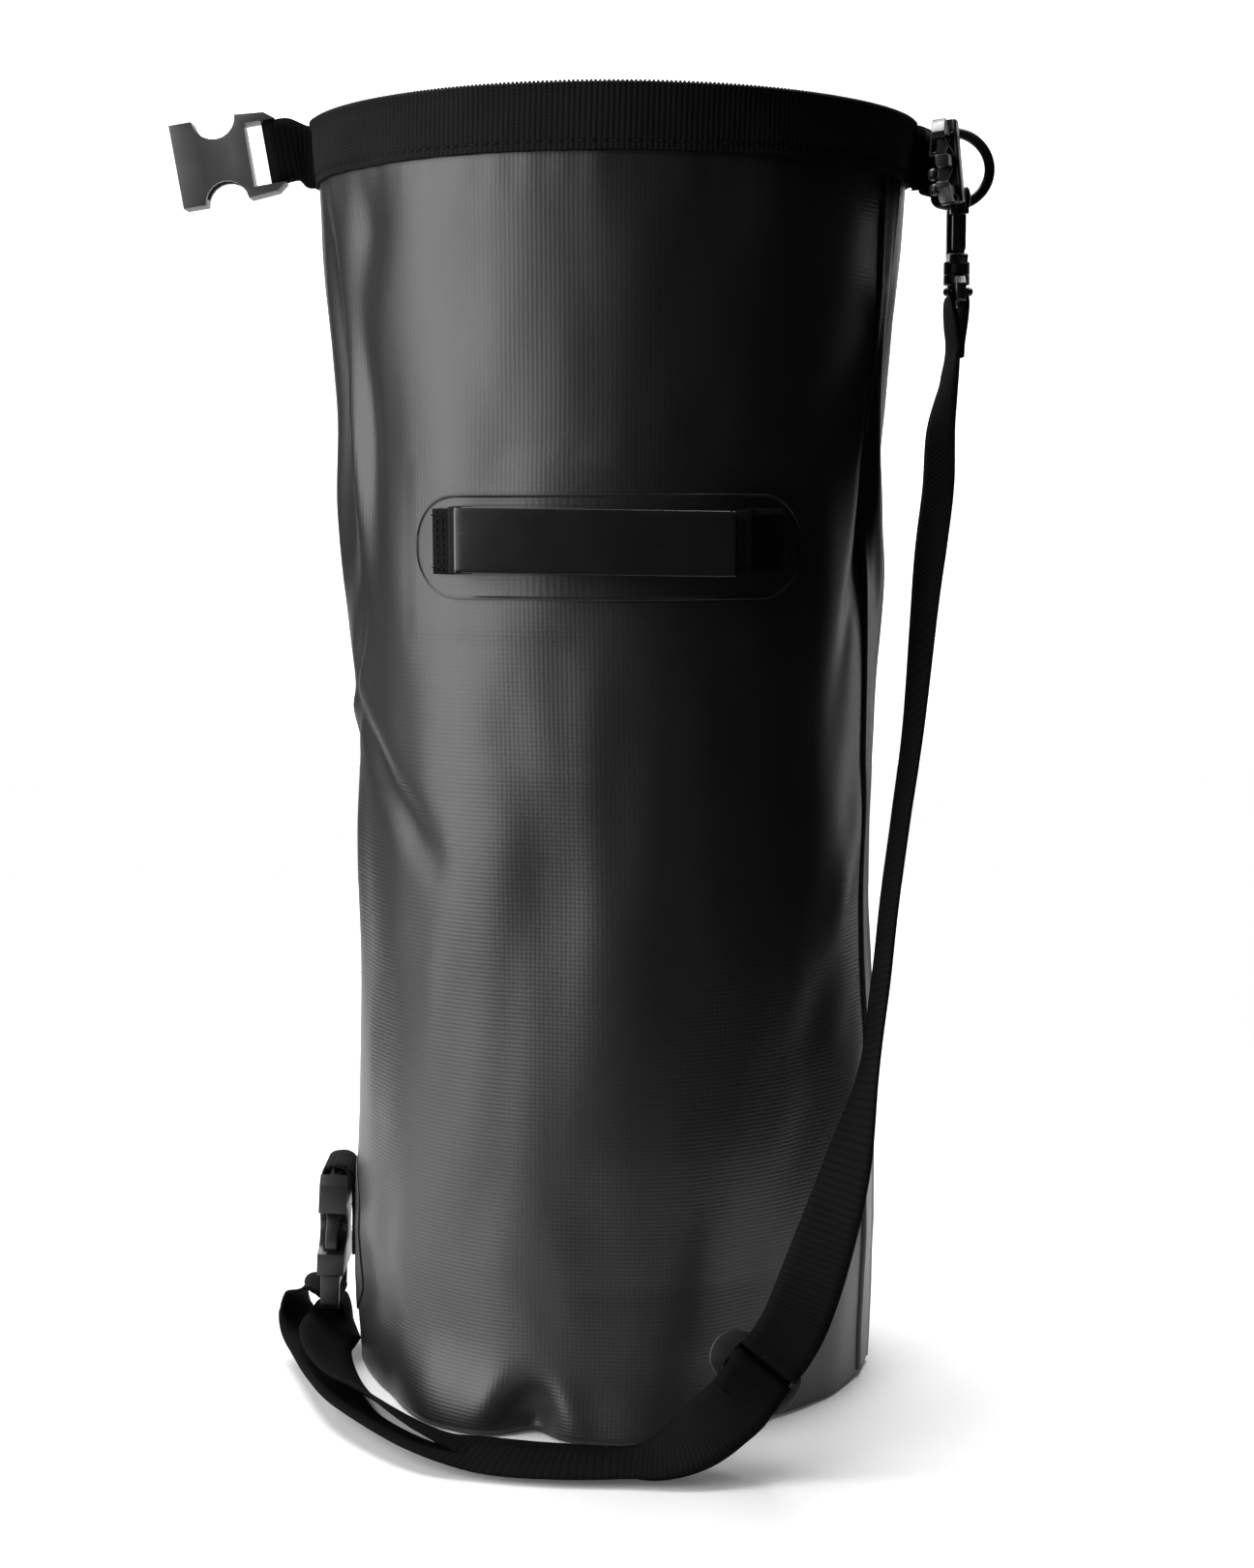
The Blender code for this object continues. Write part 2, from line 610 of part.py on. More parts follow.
def build_hook():
    """The hook lies in the YZ plane: its outline's X is -Y, its outline's Y is up."""
    height = hook_height()
    swivel = add_pivot("snap_hook_pivot", Matrix.Translation((HOOK_X, 0.0, height)))
    flat = Matrix(((0, 0, 1), (-1, 0, 0), (0, 1, 0))).to_4x4()
    base_top = HOOK_BASE - HOOK_LENGTH
    edge = arc((0, 0), HOOK_OUTER, 180, 0, 12)[::-1]
    edge = [(-HOOK_OUTER, base_top), (-COLLAR_RADIUS, -HOOK_LENGTH), (COLLAR_RADIUS, -HOOK_LENGTH),
            (HOOK_OUTER, base_top - 0.001), (HOOK_INNER, base_top)]
    spine_in = [(-HOOK_INNER, base_top)]
    inner = arc((0, 0), HOOK_INNER, 180, 0, 10)
    nose = [(HOOK_INNER, -0.0040), (HOOK_OUTER, -0.0040)]
    outer = arc((0, 0), HOOK_OUTER, 0, 180, 14)
    hook = solid_from_outline("snap_hook", [edge + spine_in + inner + nose + outer],
                              HOOK_THICKNESS, "buckle_plastic", swivel, flat)
    collar = cylinder_object("snap_hook_collar", COLLAR_RADIUS, -HOOK_LENGTH - COLLAR_HEIGHT,
                             -HOOK_LENGTH + 0.001, parent=swivel)
    pin = cylinder_object("snap_hook_pin", SWIVEL_PIN, -HOOK_LENGTH - 2 * COLLAR_HEIGHT,
                          -HOOK_LENGTH, 16, parent=swivel)
    combine(hook, collar, "UNION")
    combine(hook, pin, "UNION")

    middle = (HOOK_OUTER + HOOK_INNER) / 2
    foot = base_top + GAP + 0.0006
    gate_pivot = add_pivot("hook_gate_pivot", flat @ Matrix.Translation((middle, foot + 0.0015, 0)), swivel)
    half = HOOK_GATE / 2
    tall = -0.0040 - GAP - foot - 0.0015
    loop = [*arc((0, 0), half, 180, 360, 6), (half, tall), (-half, tall - 0.0004)]
    solid_from_outline("hook_gate", [loop], HOOK_THICKNESS - 0.002, "buckle_plastic", gate_pivot)

    top = height - HOOK_LENGTH - COLLAR_HEIGHT - GAP
    eye_pivot = add_pivot("swivel_eye_pivot", Matrix.Translation((HOOK_X, 0.0, top)))
    half_slot = SLOT_WIDTH / 2
    outer_half = half_slot + EYE_RAIL
    slot_top = -COLLAR_HEIGHT + 0.0006
    slot_low = slot_top - EYE_SLOT
    low = slot_low - EYE_BAR
    edge = [(-outer_half, low + 0.001), (-outer_half + 0.001, low), (outer_half - 0.001, low),
            (outer_half, low + 0.001), (outer_half, slot_top - 0.001), (outer_half - 0.004, -0.0012),
            (-outer_half + 0.004, -0.0012), (-outer_half, slot_top - 0.001)]
    hole = [(-half_slot, slot_low), (half_slot, slot_low), (half_slot, slot_top), (-half_slot, slot_top)]
    eye = solid_from_outline("swivel_eye", [edge, hole], EYE_THICKNESS, "buckle_plastic",
                             eye_pivot, flat)
    collar = cylinder_object("swivel_eye_collar", COLLAR_RADIUS, -COLLAR_HEIGHT, 0.0, parent=eye_pivot)
    bore = cylinder_object("swivel_eye_bore", SWIVEL_PIN + SWIVEL_CLEARANCE, -COLLAR_HEIGHT - 0.002,
                           0.001, 16, parent=eye_pivot)
    combine(eye, collar, "UNION")
    combine(eye, bore, "DIFFERENCE")
    return Vector((HOOK_X, 0.0, top + slot_low - EYE_BAR / 2))


# ------------------------------------------------------------------ shoulder strap
def slider_point(place, along, up):
    """A point in the adjuster's axes, in millimetres along the strap and out of its face."""
    return place @ Vector((along / 1000, 0.0, up / 1000))


def build_slider():
    place = frame(SLIDER_CENTRE, SLIDER_ALONG, SLIDER_ACROSS)
    half, half_slot = SLIDER_HALF_LENGTH, SLOT_WIDTH / 2
    side = half_slot + SLIDER_RAIL
    bulge = arc((0.0, side - 0.007), 0.0113, 42, 138, 8)
    top = [(half, half_slot - 0.002), *bulge, (-half, half_slot - 0.002)]
    edge = top + [(x, -y) for x, y in reversed(top)]
    near, far = SLIDER_CENTRE_BAR / 2, half - SLIDER_END_BAR
    slots = [[(s * near, -half_slot), (s * far, -half_slot), (s * far, half_slot), (s * near, half_slot)]
             for s in (1, -1)]
    solid_from_outline("strap_adjuster", [edge, *slots], SLIDER_THICKNESS, "buckle_plastic", None, place)
    return place


def build_strap(eye_bar, adjuster, plug_bar):
    """The webbing in three runs: down to the adjuster, on to the lower plug, and back."""
    across = adjuster.to_3x3() @ Vector((0, 1, 0))
    toward = Vector((0, -1, 0))
    fold = FOLD_RADIUS

    def around_eye(x, z):
        return (eye_bar + Vector((x, 0, z)), toward)

    def at_adjuster(along, up):
        return (slider_point(adjuster, along, up), across)

    def around_plug(degrees):
        turn = math.radians(degrees)
        return (plug_bar + Vector((fold * math.cos(turn), 0, fold * math.sin(turn))), toward)

    upper = [
        around_eye(0.0016, -0.0225), around_eye(0.0022, -0.0150), around_eye(fold, -0.0040),
        around_eye(fold, 0.0), around_eye(fold * 0.7, fold * 0.7), around_eye(0.0, fold),
        around_eye(-fold * 0.7, fold * 0.7), around_eye(-fold, 0.0), around_eye(-fold, -0.0050),
        around_eye(-0.0010, -0.0180),
        ((0.1403, -0.006, 0.4200), (0.12, -1.0, 0)),
        ((0.1365, -0.016, 0.3980), (0.28, -1.0, 0)),
        ((0.1330, -0.027, 0.3730), (0.34, -1.0, 0)),
        ((0.1290, -0.039, 0.3480), (0.34, -1.0, 0)),
        ((0.1253, -0.050, 0.3232), (0.26, -1.0, 0)),
        ((0.1192, -0.069, 0.2780), (0.16, -1.0, 0)),
        ((0.1130, -0.083, 0.2430), (0.12, -1.0, 0)),
        ((0.1078, -0.094, 0.2122), (0.12, -1.0, 0)),
        ((0.1035, -0.104, 0.1810), (0.12, -1.0, 0)),
        ((0.0980, -0.115, 0.1480), (0.14, -1.0, 0)),
        ((0.0890, -0.124, 0.1125), (0.55, -0.8, -0.15)),
        ((0.0790, -0.131, 0.0820), (0.75, -0.55, -0.35)),
        ((0.0700, -0.1385, 0.0600), (0.78, -0.30, -0.52)),
        at_adjuster(-14.0, 3.2), at_adjuster(-9.6, 3.0), at_adjuster(-7.3, 2.8), at_adjuster(-5.9, 1.0),
        at_adjuster(-5.2, -0.9), at_adjuster(-3.9, -3.2), at_adjuster(-2.0, -4.6), at_adjuster(-0.2, -4.9),
    ]
    inner = [
        at_adjuster(0.2, -4.9), at_adjuster(2.0, -4.6), at_adjuster(3.9, -3.2), at_adjuster(5.2, -0.9),
        at_adjuster(5.9, 1.0), at_adjuster(7.3, 2.8), at_adjuster(9.6, 3.0), at_adjuster(14.0, 2.8),
        ((0.0360, -0.1430, 0.0175), (0.70, -0.50, -0.45)),
        ((0.0230, -0.1400, 0.0085), (0.35, -0.85, -0.30)),
        ((0.0070, -0.1355, 0.0025), (0.05, -1.0, -0.03)),
        ((-0.0200, -0.1300, 0.0012), (-0.10, -1.0, 0)),
        ((-0.0460, -0.1195, 0.0012), (-0.35, -0.94, 0)),
        ((-0.0715, -0.1035, 0.0012), (-0.57, -0.82, 0)),
        ((-0.0940, -0.0830, 0.0012), (-0.75, -0.66, 0)),
        ((-0.1125, -0.0560, 0.0018), (-0.88, -0.45, 0.0)),
        ((-0.1220, -0.0330, 0.0042), (-0.90, -0.42, 0.0)),
        ((-0.1225, -0.0150, 0.0058), (-1.0, -0.15, -0.08)),
        ((-0.1214, -0.0033, 0.0103), (-0.5, -0.75, -0.16)),
        ((-0.1190, 0.0, 0.0168), (0.0, -1.0, 0)),
        around_plug(-30), around_plug(0), around_plug(45), around_plug(86),
    ]
    outer = [
        around_plug(94), around_plug(120), around_plug(145),
        ((-0.1305, 0.0, 0.0258), (0.0, -1.0, 0.0)),
        ((-0.1365, -0.0040, 0.0245), (-0.20, -0.97, 0.25)),
        ((-0.1410, -0.0125, 0.0222), (-0.50, -0.80, 0.18)),
        ((-0.1375, -0.0280, 0.0165), (-0.80, -0.55, 0.25)),
        ((-0.1280, -0.0500, 0.0095), (-0.86, -0.48, 0.12)),
        ((-0.1080, -0.0800, 0.0048), (-0.78, -0.62, 0.05)),
        ((-0.0800, -0.1080, 0.0040), (-0.62, -0.78, 0)),
        ((-0.0500, -0.1300, 0.0040), (-0.38, -0.92, 0)),
        ((-0.0200, -0.1410, 0.0040), (-0.12, -1.0, 0)),
        ((0.0080, -0.1440, 0.0055), (0.05, -1.0, -0.05)),
        ((0.0250, -0.1468, 0.0123), (0.35, -0.85, -0.30)),
        ((0.0373, -0.1485, 0.0213), (0.70, -0.50, -0.45)),
        at_adjuster(14.0, 5.5), at_adjuster(9.6, 5.3), at_adjuster(6.0, 4.8), at_adjuster(3.0, 3.7),
        at_adjuster(0.0, 2.95), at_adjuster(-2.1, 2.1), at_adjuster(-2.95, 0.0), at_adjuster(-2.1, -2.1),
        at_adjuster(0.0, -2.95), at_adjuster(2.0, -2.1),
    ]
    add_ribbon("strap_upper", upper, 78)
    add_ribbon("strap_lower_inner", inner, 66)
    add_ribbon("strap_lower_outer", outer, 66)


# ------------------------------------------------------------------ lower anchor
def build_lower_anchor(wall):
    add_shell("lower_anchor_patch",
              wall.patch(-wall.half_girth / 2, ANCHOR_MID_HEIGHT, ANCHOR_LENGTH, ANCHOR_HEIGHT,
                         ANCHOR_CORNER, GAP, 14, 4),
              PATCH_THICKNESS, "coated_cloth", side=-1.0)

    down = Vector((-math.sin(LOWER_TILT), 0.0, -math.cos(LOWER_TILT)))
    place = frame(LOWER_BAR, down, (0, 1, 0))
    pivot = add_pivot("lower_buckle_pivot", place)
    build_socket("lower_socket", pivot)
    mouth = SOCKET_LENGTH - BAR_LENGTHWISE / 2
    facing = Matrix.Translation((mouth + GAP + PLUG_SHOULDER, 0, 0)) @ Matrix.Rotation(math.pi, 4, "Z")
    build_plug("lower_plug", pivot, facing, ("front", "rear"))

    leg = -(BAG_RADIUS + GAP + PATCH_THICKNESS + GAP + WEB_THICKNESS / 2)
    toward = (0, 1, 0)
    reach = LOWER_BAR.x
    arch = [(leg, 0.0470), (leg, 0.0600), (leg, 0.0730), (leg - 0.0006, 0.0800), (leg - 0.0032, 0.0855),
            (leg - 0.0075, 0.0877), (reach - 0.0035, 0.0858), (reach - 0.0050, 0.0815)]
    curl = [(reach + FOLD_RADIUS * math.cos(math.radians(a)),
             LOWER_BAR.z + FOLD_RADIUS * math.sin(math.radians(a))) for a in (185, 225, 270, 315, 360, 405)]
    add_ribbon("lower_loop", [((x, 0.0, z), toward) for x, z in arch + curl], 34)
    return place @ facing @ Vector((0, 0, 0))


# ------------------------------------------------------------------ carry handle
def build_handle(wall):
    add_shell("handle_backing_patch",
              wall.patch(0.0, HANDLE_PATCH_MID, BACKING_LENGTH, BACKING_HEIGHT, BACKING_HEIGHT / 2.2,
                         -TARP - 2 * GAP, 20, 3),
              PATCH_THICKNESS, "coated_cloth", side=1.0)
    add_shell("handle_patch",
              wall.patch(0.0, HANDLE_PATCH_MID, HANDLE_PATCH_LENGTH, HANDLE_PATCH_HEIGHT,
                         HANDLE_PATCH_HEIGHT / 2 - 0.0001, GAP, 22, 3),
              PATCH_THICKNESS, "coated_cloth", side=-1.0)
    flat = GAP + PATCH_THICKNESS + GAP + WEB_THICKNESS / 2
    ends = {"handle_end_left": (-1, SLEEVE_LEFT), "handle_end_right": (1, SLEEVE_RIGHT)}
    for name, (side, sleeve_end) in ends.items():
        stop = abs(sleeve_end) + 0.0004
        tab_in = min(HANDLE_END_INNER, stop + 0.0065)
        flat_run = HANDLE_END_OUTER - tab_in - 0.0015
        profile = [(HANDLE_END_OUTER - flat_run * k / 4, flat) for k in range(5)]
        profile += [(tab_in, flat + 0.0008), (stop + 0.0030, HANDLE_STANDOFF * 0.55),
                    (stop + 0.0012, HANDLE_STANDOFF * 0.90), (stop, HANDLE_STANDOFF)]
        half = WEB_WIDTH / 2
        route = []
        for girth, out in profile:
            low = wall.point(side * girth, HANDLE_HEIGHT - half, out)
            high = wall.point(side * girth, HANDLE_HEIGHT + half, out)
            route.append(((low + high) / 2, high - low))
        add_ribbon(name, route, 24)

    axis = handle_axis(wall)
    pivot = add_pivot("handle_pivot", Matrix.Translation(axis))
    steps = 14
    stations = [SLEEVE_LEFT + (SLEEVE_RIGHT - SLEEVE_LEFT) * k / steps for k in range(steps + 1)]
    inset = 0.0008
    core = [SLEEVE_LEFT + inset + (SLEEVE_RIGHT - SLEEVE_LEFT - 2 * inset) * k / steps
            for k in range(steps + 1)]
    rows = [[wall.point(s, HANDLE_HEIGHT + z, HANDLE_STANDOFF) - axis
             for z in (-WEB_WIDTH / 2, WEB_WIDTH / 2)] for s in core]
    add_shell("handle_webbing", rows, WEB_THICKNESS, "webbing", parent=pivot)
    half_tall = WEB_WIDTH / 2 + GAP + SLEEVE_WALL
    half_thick = SLEEVE_THICKNESS / 2
    ring = [(-half_tall, 0.0006 - half_thick), (-half_tall, half_thick - 0.0006),
            (0.0008 - half_tall, half_thick), (half_tall - 0.0008, half_thick),
            (half_tall, half_thick - 0.0006), (half_tall, 0.0006 - half_thick),
            (half_tall - 0.0008, -half_thick), (0.0008 - half_tall, -half_thick)]
    rows = [[wall.point(s, HANDLE_HEIGHT, HANDLE_STANDOFF + out) + Vector((0, 0, z)) - axis
             for z, out in ring] for s in stations]
    add_shell("handle_sleeve", rows, SLEEVE_WALL, "rubber_grip", side=-1.0, closed=True, parent=pivot)


def handle_axis(wall):
    """Middle of the line through the two places where the handle leaves the patch."""
    base = wall.point(HANDLE_END_INNER, HANDLE_HEIGHT, 0.002)
    return Vector((0.0, base.y, HANDLE_HEIGHT))


def main():
    clear_scene()
    wall = Wall()
    build_bag(wall)
    build_rim(wall)
    build_closure()
    build_ring()
    eye_bar = build_hook()
    adjuster = build_slider()
    plug_bar = build_lower_anchor(wall)
    build_strap(eye_bar, adjuster, plug_bar)
    build_handle(wall)
    bpy.context.view_layer.update()


main()
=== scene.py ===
"""Looks for the roll-top dry bag: cloth, webbing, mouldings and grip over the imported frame."""
import json
import math

import bmesh
import bpy
import numpy as np
from mathutils import Matrix, Vector, noise
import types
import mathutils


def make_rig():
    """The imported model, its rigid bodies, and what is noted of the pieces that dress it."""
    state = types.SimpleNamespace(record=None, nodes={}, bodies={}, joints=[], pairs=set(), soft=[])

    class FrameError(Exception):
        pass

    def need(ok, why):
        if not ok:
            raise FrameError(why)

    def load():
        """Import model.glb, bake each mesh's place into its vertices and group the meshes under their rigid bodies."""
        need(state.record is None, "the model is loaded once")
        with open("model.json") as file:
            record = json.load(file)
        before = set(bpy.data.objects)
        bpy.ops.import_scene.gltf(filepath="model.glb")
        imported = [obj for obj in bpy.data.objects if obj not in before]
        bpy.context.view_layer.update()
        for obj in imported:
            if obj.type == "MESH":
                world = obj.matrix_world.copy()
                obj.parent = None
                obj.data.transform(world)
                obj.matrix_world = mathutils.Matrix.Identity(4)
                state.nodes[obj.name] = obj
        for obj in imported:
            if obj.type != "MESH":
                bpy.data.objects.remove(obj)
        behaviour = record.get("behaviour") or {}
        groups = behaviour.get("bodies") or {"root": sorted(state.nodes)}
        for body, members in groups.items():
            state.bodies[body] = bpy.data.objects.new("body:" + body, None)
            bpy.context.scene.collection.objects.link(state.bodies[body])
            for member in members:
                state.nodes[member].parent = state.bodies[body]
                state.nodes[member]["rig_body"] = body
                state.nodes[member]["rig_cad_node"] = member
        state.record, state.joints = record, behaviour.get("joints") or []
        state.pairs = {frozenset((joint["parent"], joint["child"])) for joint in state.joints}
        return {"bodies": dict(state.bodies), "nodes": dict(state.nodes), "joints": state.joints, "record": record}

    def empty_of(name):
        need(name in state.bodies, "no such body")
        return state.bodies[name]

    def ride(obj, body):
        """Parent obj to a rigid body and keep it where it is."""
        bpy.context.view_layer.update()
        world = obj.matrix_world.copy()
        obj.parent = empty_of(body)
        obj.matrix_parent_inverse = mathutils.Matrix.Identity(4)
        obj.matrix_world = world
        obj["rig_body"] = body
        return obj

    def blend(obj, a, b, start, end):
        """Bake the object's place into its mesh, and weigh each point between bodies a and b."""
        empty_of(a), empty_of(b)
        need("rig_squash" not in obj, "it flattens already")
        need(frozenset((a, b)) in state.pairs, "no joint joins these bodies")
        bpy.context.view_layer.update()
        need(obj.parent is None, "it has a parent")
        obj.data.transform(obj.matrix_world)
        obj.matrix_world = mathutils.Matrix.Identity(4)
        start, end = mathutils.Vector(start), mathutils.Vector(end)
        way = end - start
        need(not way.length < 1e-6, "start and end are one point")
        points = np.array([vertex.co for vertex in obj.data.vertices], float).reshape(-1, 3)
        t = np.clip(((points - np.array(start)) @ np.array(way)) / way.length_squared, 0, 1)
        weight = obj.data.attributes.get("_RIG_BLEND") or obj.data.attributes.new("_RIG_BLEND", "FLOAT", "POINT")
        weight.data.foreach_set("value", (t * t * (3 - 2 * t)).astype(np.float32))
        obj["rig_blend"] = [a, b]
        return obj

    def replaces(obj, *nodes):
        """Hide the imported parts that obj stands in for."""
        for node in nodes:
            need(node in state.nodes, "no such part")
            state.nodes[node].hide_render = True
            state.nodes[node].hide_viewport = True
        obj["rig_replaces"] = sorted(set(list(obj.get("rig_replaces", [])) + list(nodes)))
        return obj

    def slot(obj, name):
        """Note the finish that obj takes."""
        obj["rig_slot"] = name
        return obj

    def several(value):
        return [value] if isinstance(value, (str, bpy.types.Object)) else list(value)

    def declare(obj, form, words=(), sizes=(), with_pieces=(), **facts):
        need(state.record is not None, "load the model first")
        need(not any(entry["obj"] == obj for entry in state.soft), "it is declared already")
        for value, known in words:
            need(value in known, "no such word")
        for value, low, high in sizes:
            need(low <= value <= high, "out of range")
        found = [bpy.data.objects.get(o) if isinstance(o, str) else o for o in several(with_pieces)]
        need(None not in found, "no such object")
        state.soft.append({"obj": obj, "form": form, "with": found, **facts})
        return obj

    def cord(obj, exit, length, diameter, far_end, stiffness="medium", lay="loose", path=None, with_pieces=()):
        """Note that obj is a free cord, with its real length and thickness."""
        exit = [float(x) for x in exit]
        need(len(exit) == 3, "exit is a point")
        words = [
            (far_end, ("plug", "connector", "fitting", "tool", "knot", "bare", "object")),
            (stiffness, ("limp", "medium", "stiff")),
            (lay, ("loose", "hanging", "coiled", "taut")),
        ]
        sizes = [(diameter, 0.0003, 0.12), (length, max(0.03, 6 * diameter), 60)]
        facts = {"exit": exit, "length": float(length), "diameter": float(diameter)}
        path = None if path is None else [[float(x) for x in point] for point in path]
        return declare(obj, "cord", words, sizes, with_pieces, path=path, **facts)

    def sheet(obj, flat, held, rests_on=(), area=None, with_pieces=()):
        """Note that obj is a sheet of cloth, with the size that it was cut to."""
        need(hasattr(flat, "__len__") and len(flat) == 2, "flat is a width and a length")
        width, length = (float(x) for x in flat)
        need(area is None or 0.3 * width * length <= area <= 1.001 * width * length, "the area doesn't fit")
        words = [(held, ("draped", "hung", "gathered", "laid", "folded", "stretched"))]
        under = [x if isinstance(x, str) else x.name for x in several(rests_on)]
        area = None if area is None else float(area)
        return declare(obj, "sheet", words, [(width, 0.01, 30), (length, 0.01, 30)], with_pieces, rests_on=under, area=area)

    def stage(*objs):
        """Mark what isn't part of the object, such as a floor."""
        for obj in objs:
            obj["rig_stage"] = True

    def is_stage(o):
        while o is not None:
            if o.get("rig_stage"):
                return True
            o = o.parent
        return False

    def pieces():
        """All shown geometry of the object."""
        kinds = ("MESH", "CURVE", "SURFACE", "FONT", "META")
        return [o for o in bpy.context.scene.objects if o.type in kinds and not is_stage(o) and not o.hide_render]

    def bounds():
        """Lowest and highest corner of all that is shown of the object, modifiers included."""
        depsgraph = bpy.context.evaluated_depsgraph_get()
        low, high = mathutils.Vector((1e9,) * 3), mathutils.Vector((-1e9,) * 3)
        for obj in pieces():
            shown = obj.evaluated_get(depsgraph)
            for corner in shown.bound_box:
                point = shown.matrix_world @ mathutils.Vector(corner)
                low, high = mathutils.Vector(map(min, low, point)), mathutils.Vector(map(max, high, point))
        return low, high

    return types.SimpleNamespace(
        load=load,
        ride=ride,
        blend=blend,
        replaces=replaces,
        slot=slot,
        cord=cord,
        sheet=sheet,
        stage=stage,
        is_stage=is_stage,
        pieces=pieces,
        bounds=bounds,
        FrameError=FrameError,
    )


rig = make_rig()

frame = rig.load()
cad_low, cad_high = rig.bounds()

# ------------------------------------------------------------------ sizes, in metres
BAG_RADIUS = 0.110
BAG_HEIGHT = 0.521
HALF_GIRTH = math.pi * BAG_RADIUS
FLARE_START = 0.28
WEB = 0.025
WEB_THICK = 0.0014
FOLD = 0.00374
EYE = Vector((0.1430, 0.0, 0.4499))
PLUG_END = Vector((-0.12281, 0.0, 0.02225))
HANDLE_MID = 0.351
PATCH_MID = 0.3485
PATCH_LENGTH, PATCH_TALL = 0.162, 0.040
BACKING_LENGTH, BACKING_TALL = 0.195, 0.065
SEAM_WIDTH = 0.0225
CLOTH_THICK = 0.0009
PATCH_THICK = 0.0007
RIM_MID = BAG_HEIGHT - WEB / 2
RING_BAR = Vector((0.1366, 0, 0.5045))
RING_TILT = math.radians(13)
CLOSURE_PLUG_BAR = Vector((0.1376, -0.0130, 0.5040))
ADJUSTER_MID = Vector((0.0555, -0.1405, 0.0385))
ADJUSTER_ACROSS = Vector((0.78, -0.16, -0.60))
WHITE = (1.0, 1.0, 1.0, 1.0)


# ------------------------------------------------------------------ materials
class Value:
    """A number on a node socket that Python arithmetic can be done on."""

    def __init__(self, finish, socket):
        self.finish, self.socket = finish, socket

    def maths(self, operation, *others):
        inputs = dict(enumerate((self, *others)))
        return self.finish.node("ShaderNodeMath", {"operation": operation}, inputs)

    def __add__(self, other):
        return self.maths("ADD", other)

    def __mul__(self, other):
        return self.maths("MULTIPLY", other)

    def __pow__(self, other):
        return self.maths("POWER", other)

    __radd__ = __add__
    __rmul__ = __mul__

    def sine(self):
        return self.maths("SINE")

    def size(self):
        return self.maths("ABSOLUTE")

    def between(self, low, high):
        """0 below low, 1 above high, smooth in between."""
        return self.finish.node("ShaderNodeMapRange", {"interpolation_type": "SMOOTHSTEP", "clamp": True},
                                {0: self, 1: low, 2: high, 3: 0.0, 4: 1.0})


class Finish:
    """A Principled material under construction."""

    def __init__(self, name, colour, roughness, **fixed):
        self.material = bpy.data.materials.new(name)
        self.material.use_nodes = True
        self.nodes = self.material.node_tree.nodes
        self.links = self.material.node_tree.links
        self.shader = self.nodes["Principled BSDF"]
        self.shader.inputs["Base Color"].default_value = (*colour, 1.0)
        self.shader.inputs["Roughness"].default_value = roughness
        for socket, value in fixed.items():
            self.shader.inputs[socket.replace("_", " ")].default_value = value

    def node(self, kind, settings, inputs, out=0):
        made = self.nodes.new(kind)
        for setting, value in settings.items():
            setattr(made, setting, value)
        for socket, value in inputs.items():
            self.feed(made.inputs[socket], value)
        return Value(self, made.outputs[out])

    def feed(self, socket, value):
        if isinstance(value, Value):
            self.links.new(value.socket, socket)
        else:
            socket.default_value = value

    def along(self):
        """Distance along and across a woven or welded piece, from its UV map in metres."""
        place = self.node("ShaderNodeTexCoord", {}, {}, "UV")
        parts = self.node("ShaderNodeSeparateXYZ", {}, {0: place})
        return parts, Value(self, parts.socket.node.outputs[1])

    def solid(self):
        return self.node("ShaderNodeTexCoord", {}, {}, "Object")

    def noise(self, scale, detail=3.0, rough=0.55, where=None):
        return self.node("ShaderNodeTexNoise", {}, {"Vector": where or self.solid(), "Scale": scale,
                                                     "Detail": detail, "Roughness": rough})

    def colour(self, factor, low, high):
        """A colour between two, by factor."""
        mixed = self.node("ShaderNodeMix", {"data_type": "RGBA"},
                          {0: factor, 6: (*low, 1.0), 7: (*high, 1.0)}, 2)
        self.feed(self.shader.inputs["Base Color"], mixed)

    def bump(self, height, distance, strength=1.0):
        normal = self.node("ShaderNodeBump", {}, {"Height": height, "Distance": distance,
                                                   "Strength": strength})
        self.feed(self.shader.inputs["Normal"], normal)

    def rough(self, value):
        self.feed(self.shader.inputs["Roughness"], value)


def coated_cloth():
    """Calendered cloth: a fine square weave under a satin skin, with faint scuffs."""
    made = Finish("coated_cloth", (0.0125, 0.0128, 0.0135), 0.40)
    u, v = made.along()
    weft = (v * (math.tau / 0.0017)).sine()
    warp = (u * (math.tau / 0.0018)).sine()
    grain = made.noise(900.0, 2.0)
    cloud = made.noise(14.0, 4.0)
    scuff = made.noise(160.0, 5.0, 0.7)
    height = weft * 0.20 + warp * 0.15 + grain * 0.45
    made.bump(height, 0.00009, 0.85)
    made.rough(0.335 + cloud * 0.08 + scuff * 0.06)
    speck = made.noise(620.0, 1.0).between(0.775, 0.80)
    made.colour(speck * 0.35 + cloud * 0.25, (0.0115, 0.0117, 0.0124), (0.030, 0.031, 0.033))
    return made.material


def ribbed_webbing(name, rib, colour, lift):
    """Woven tape: ribs across its length and finer rows along it."""
    made = Finish(name, colour, 0.9, Specular_IOR_Level=0.05)
    u, v = made.along()
    ribs = (u * (math.pi / rib)).sine().size()
    rows = (v * (math.pi / 0.00125)).sine().size()
    fuzz = made.noise(1500.0, 3.0)
    weave = ribs ** 0.7 * 0.75 + rows * 0.35 + fuzz * 0.25
    made.bump(weave, lift, 0.9)
    # Colour follows the weave's height: painted shade in the grooves and painted highlight on the rib tops, mixed with
    # a random tone from the noise.
    groove_shade_and_tone = weave * 0.55 + made.noise(45.0, 3.0) * 0.35
    made.colour(groove_shade_and_tone, tuple(c * 0.15 for c in colour), tuple(c * 2.6 for c in colour))
    return made.material


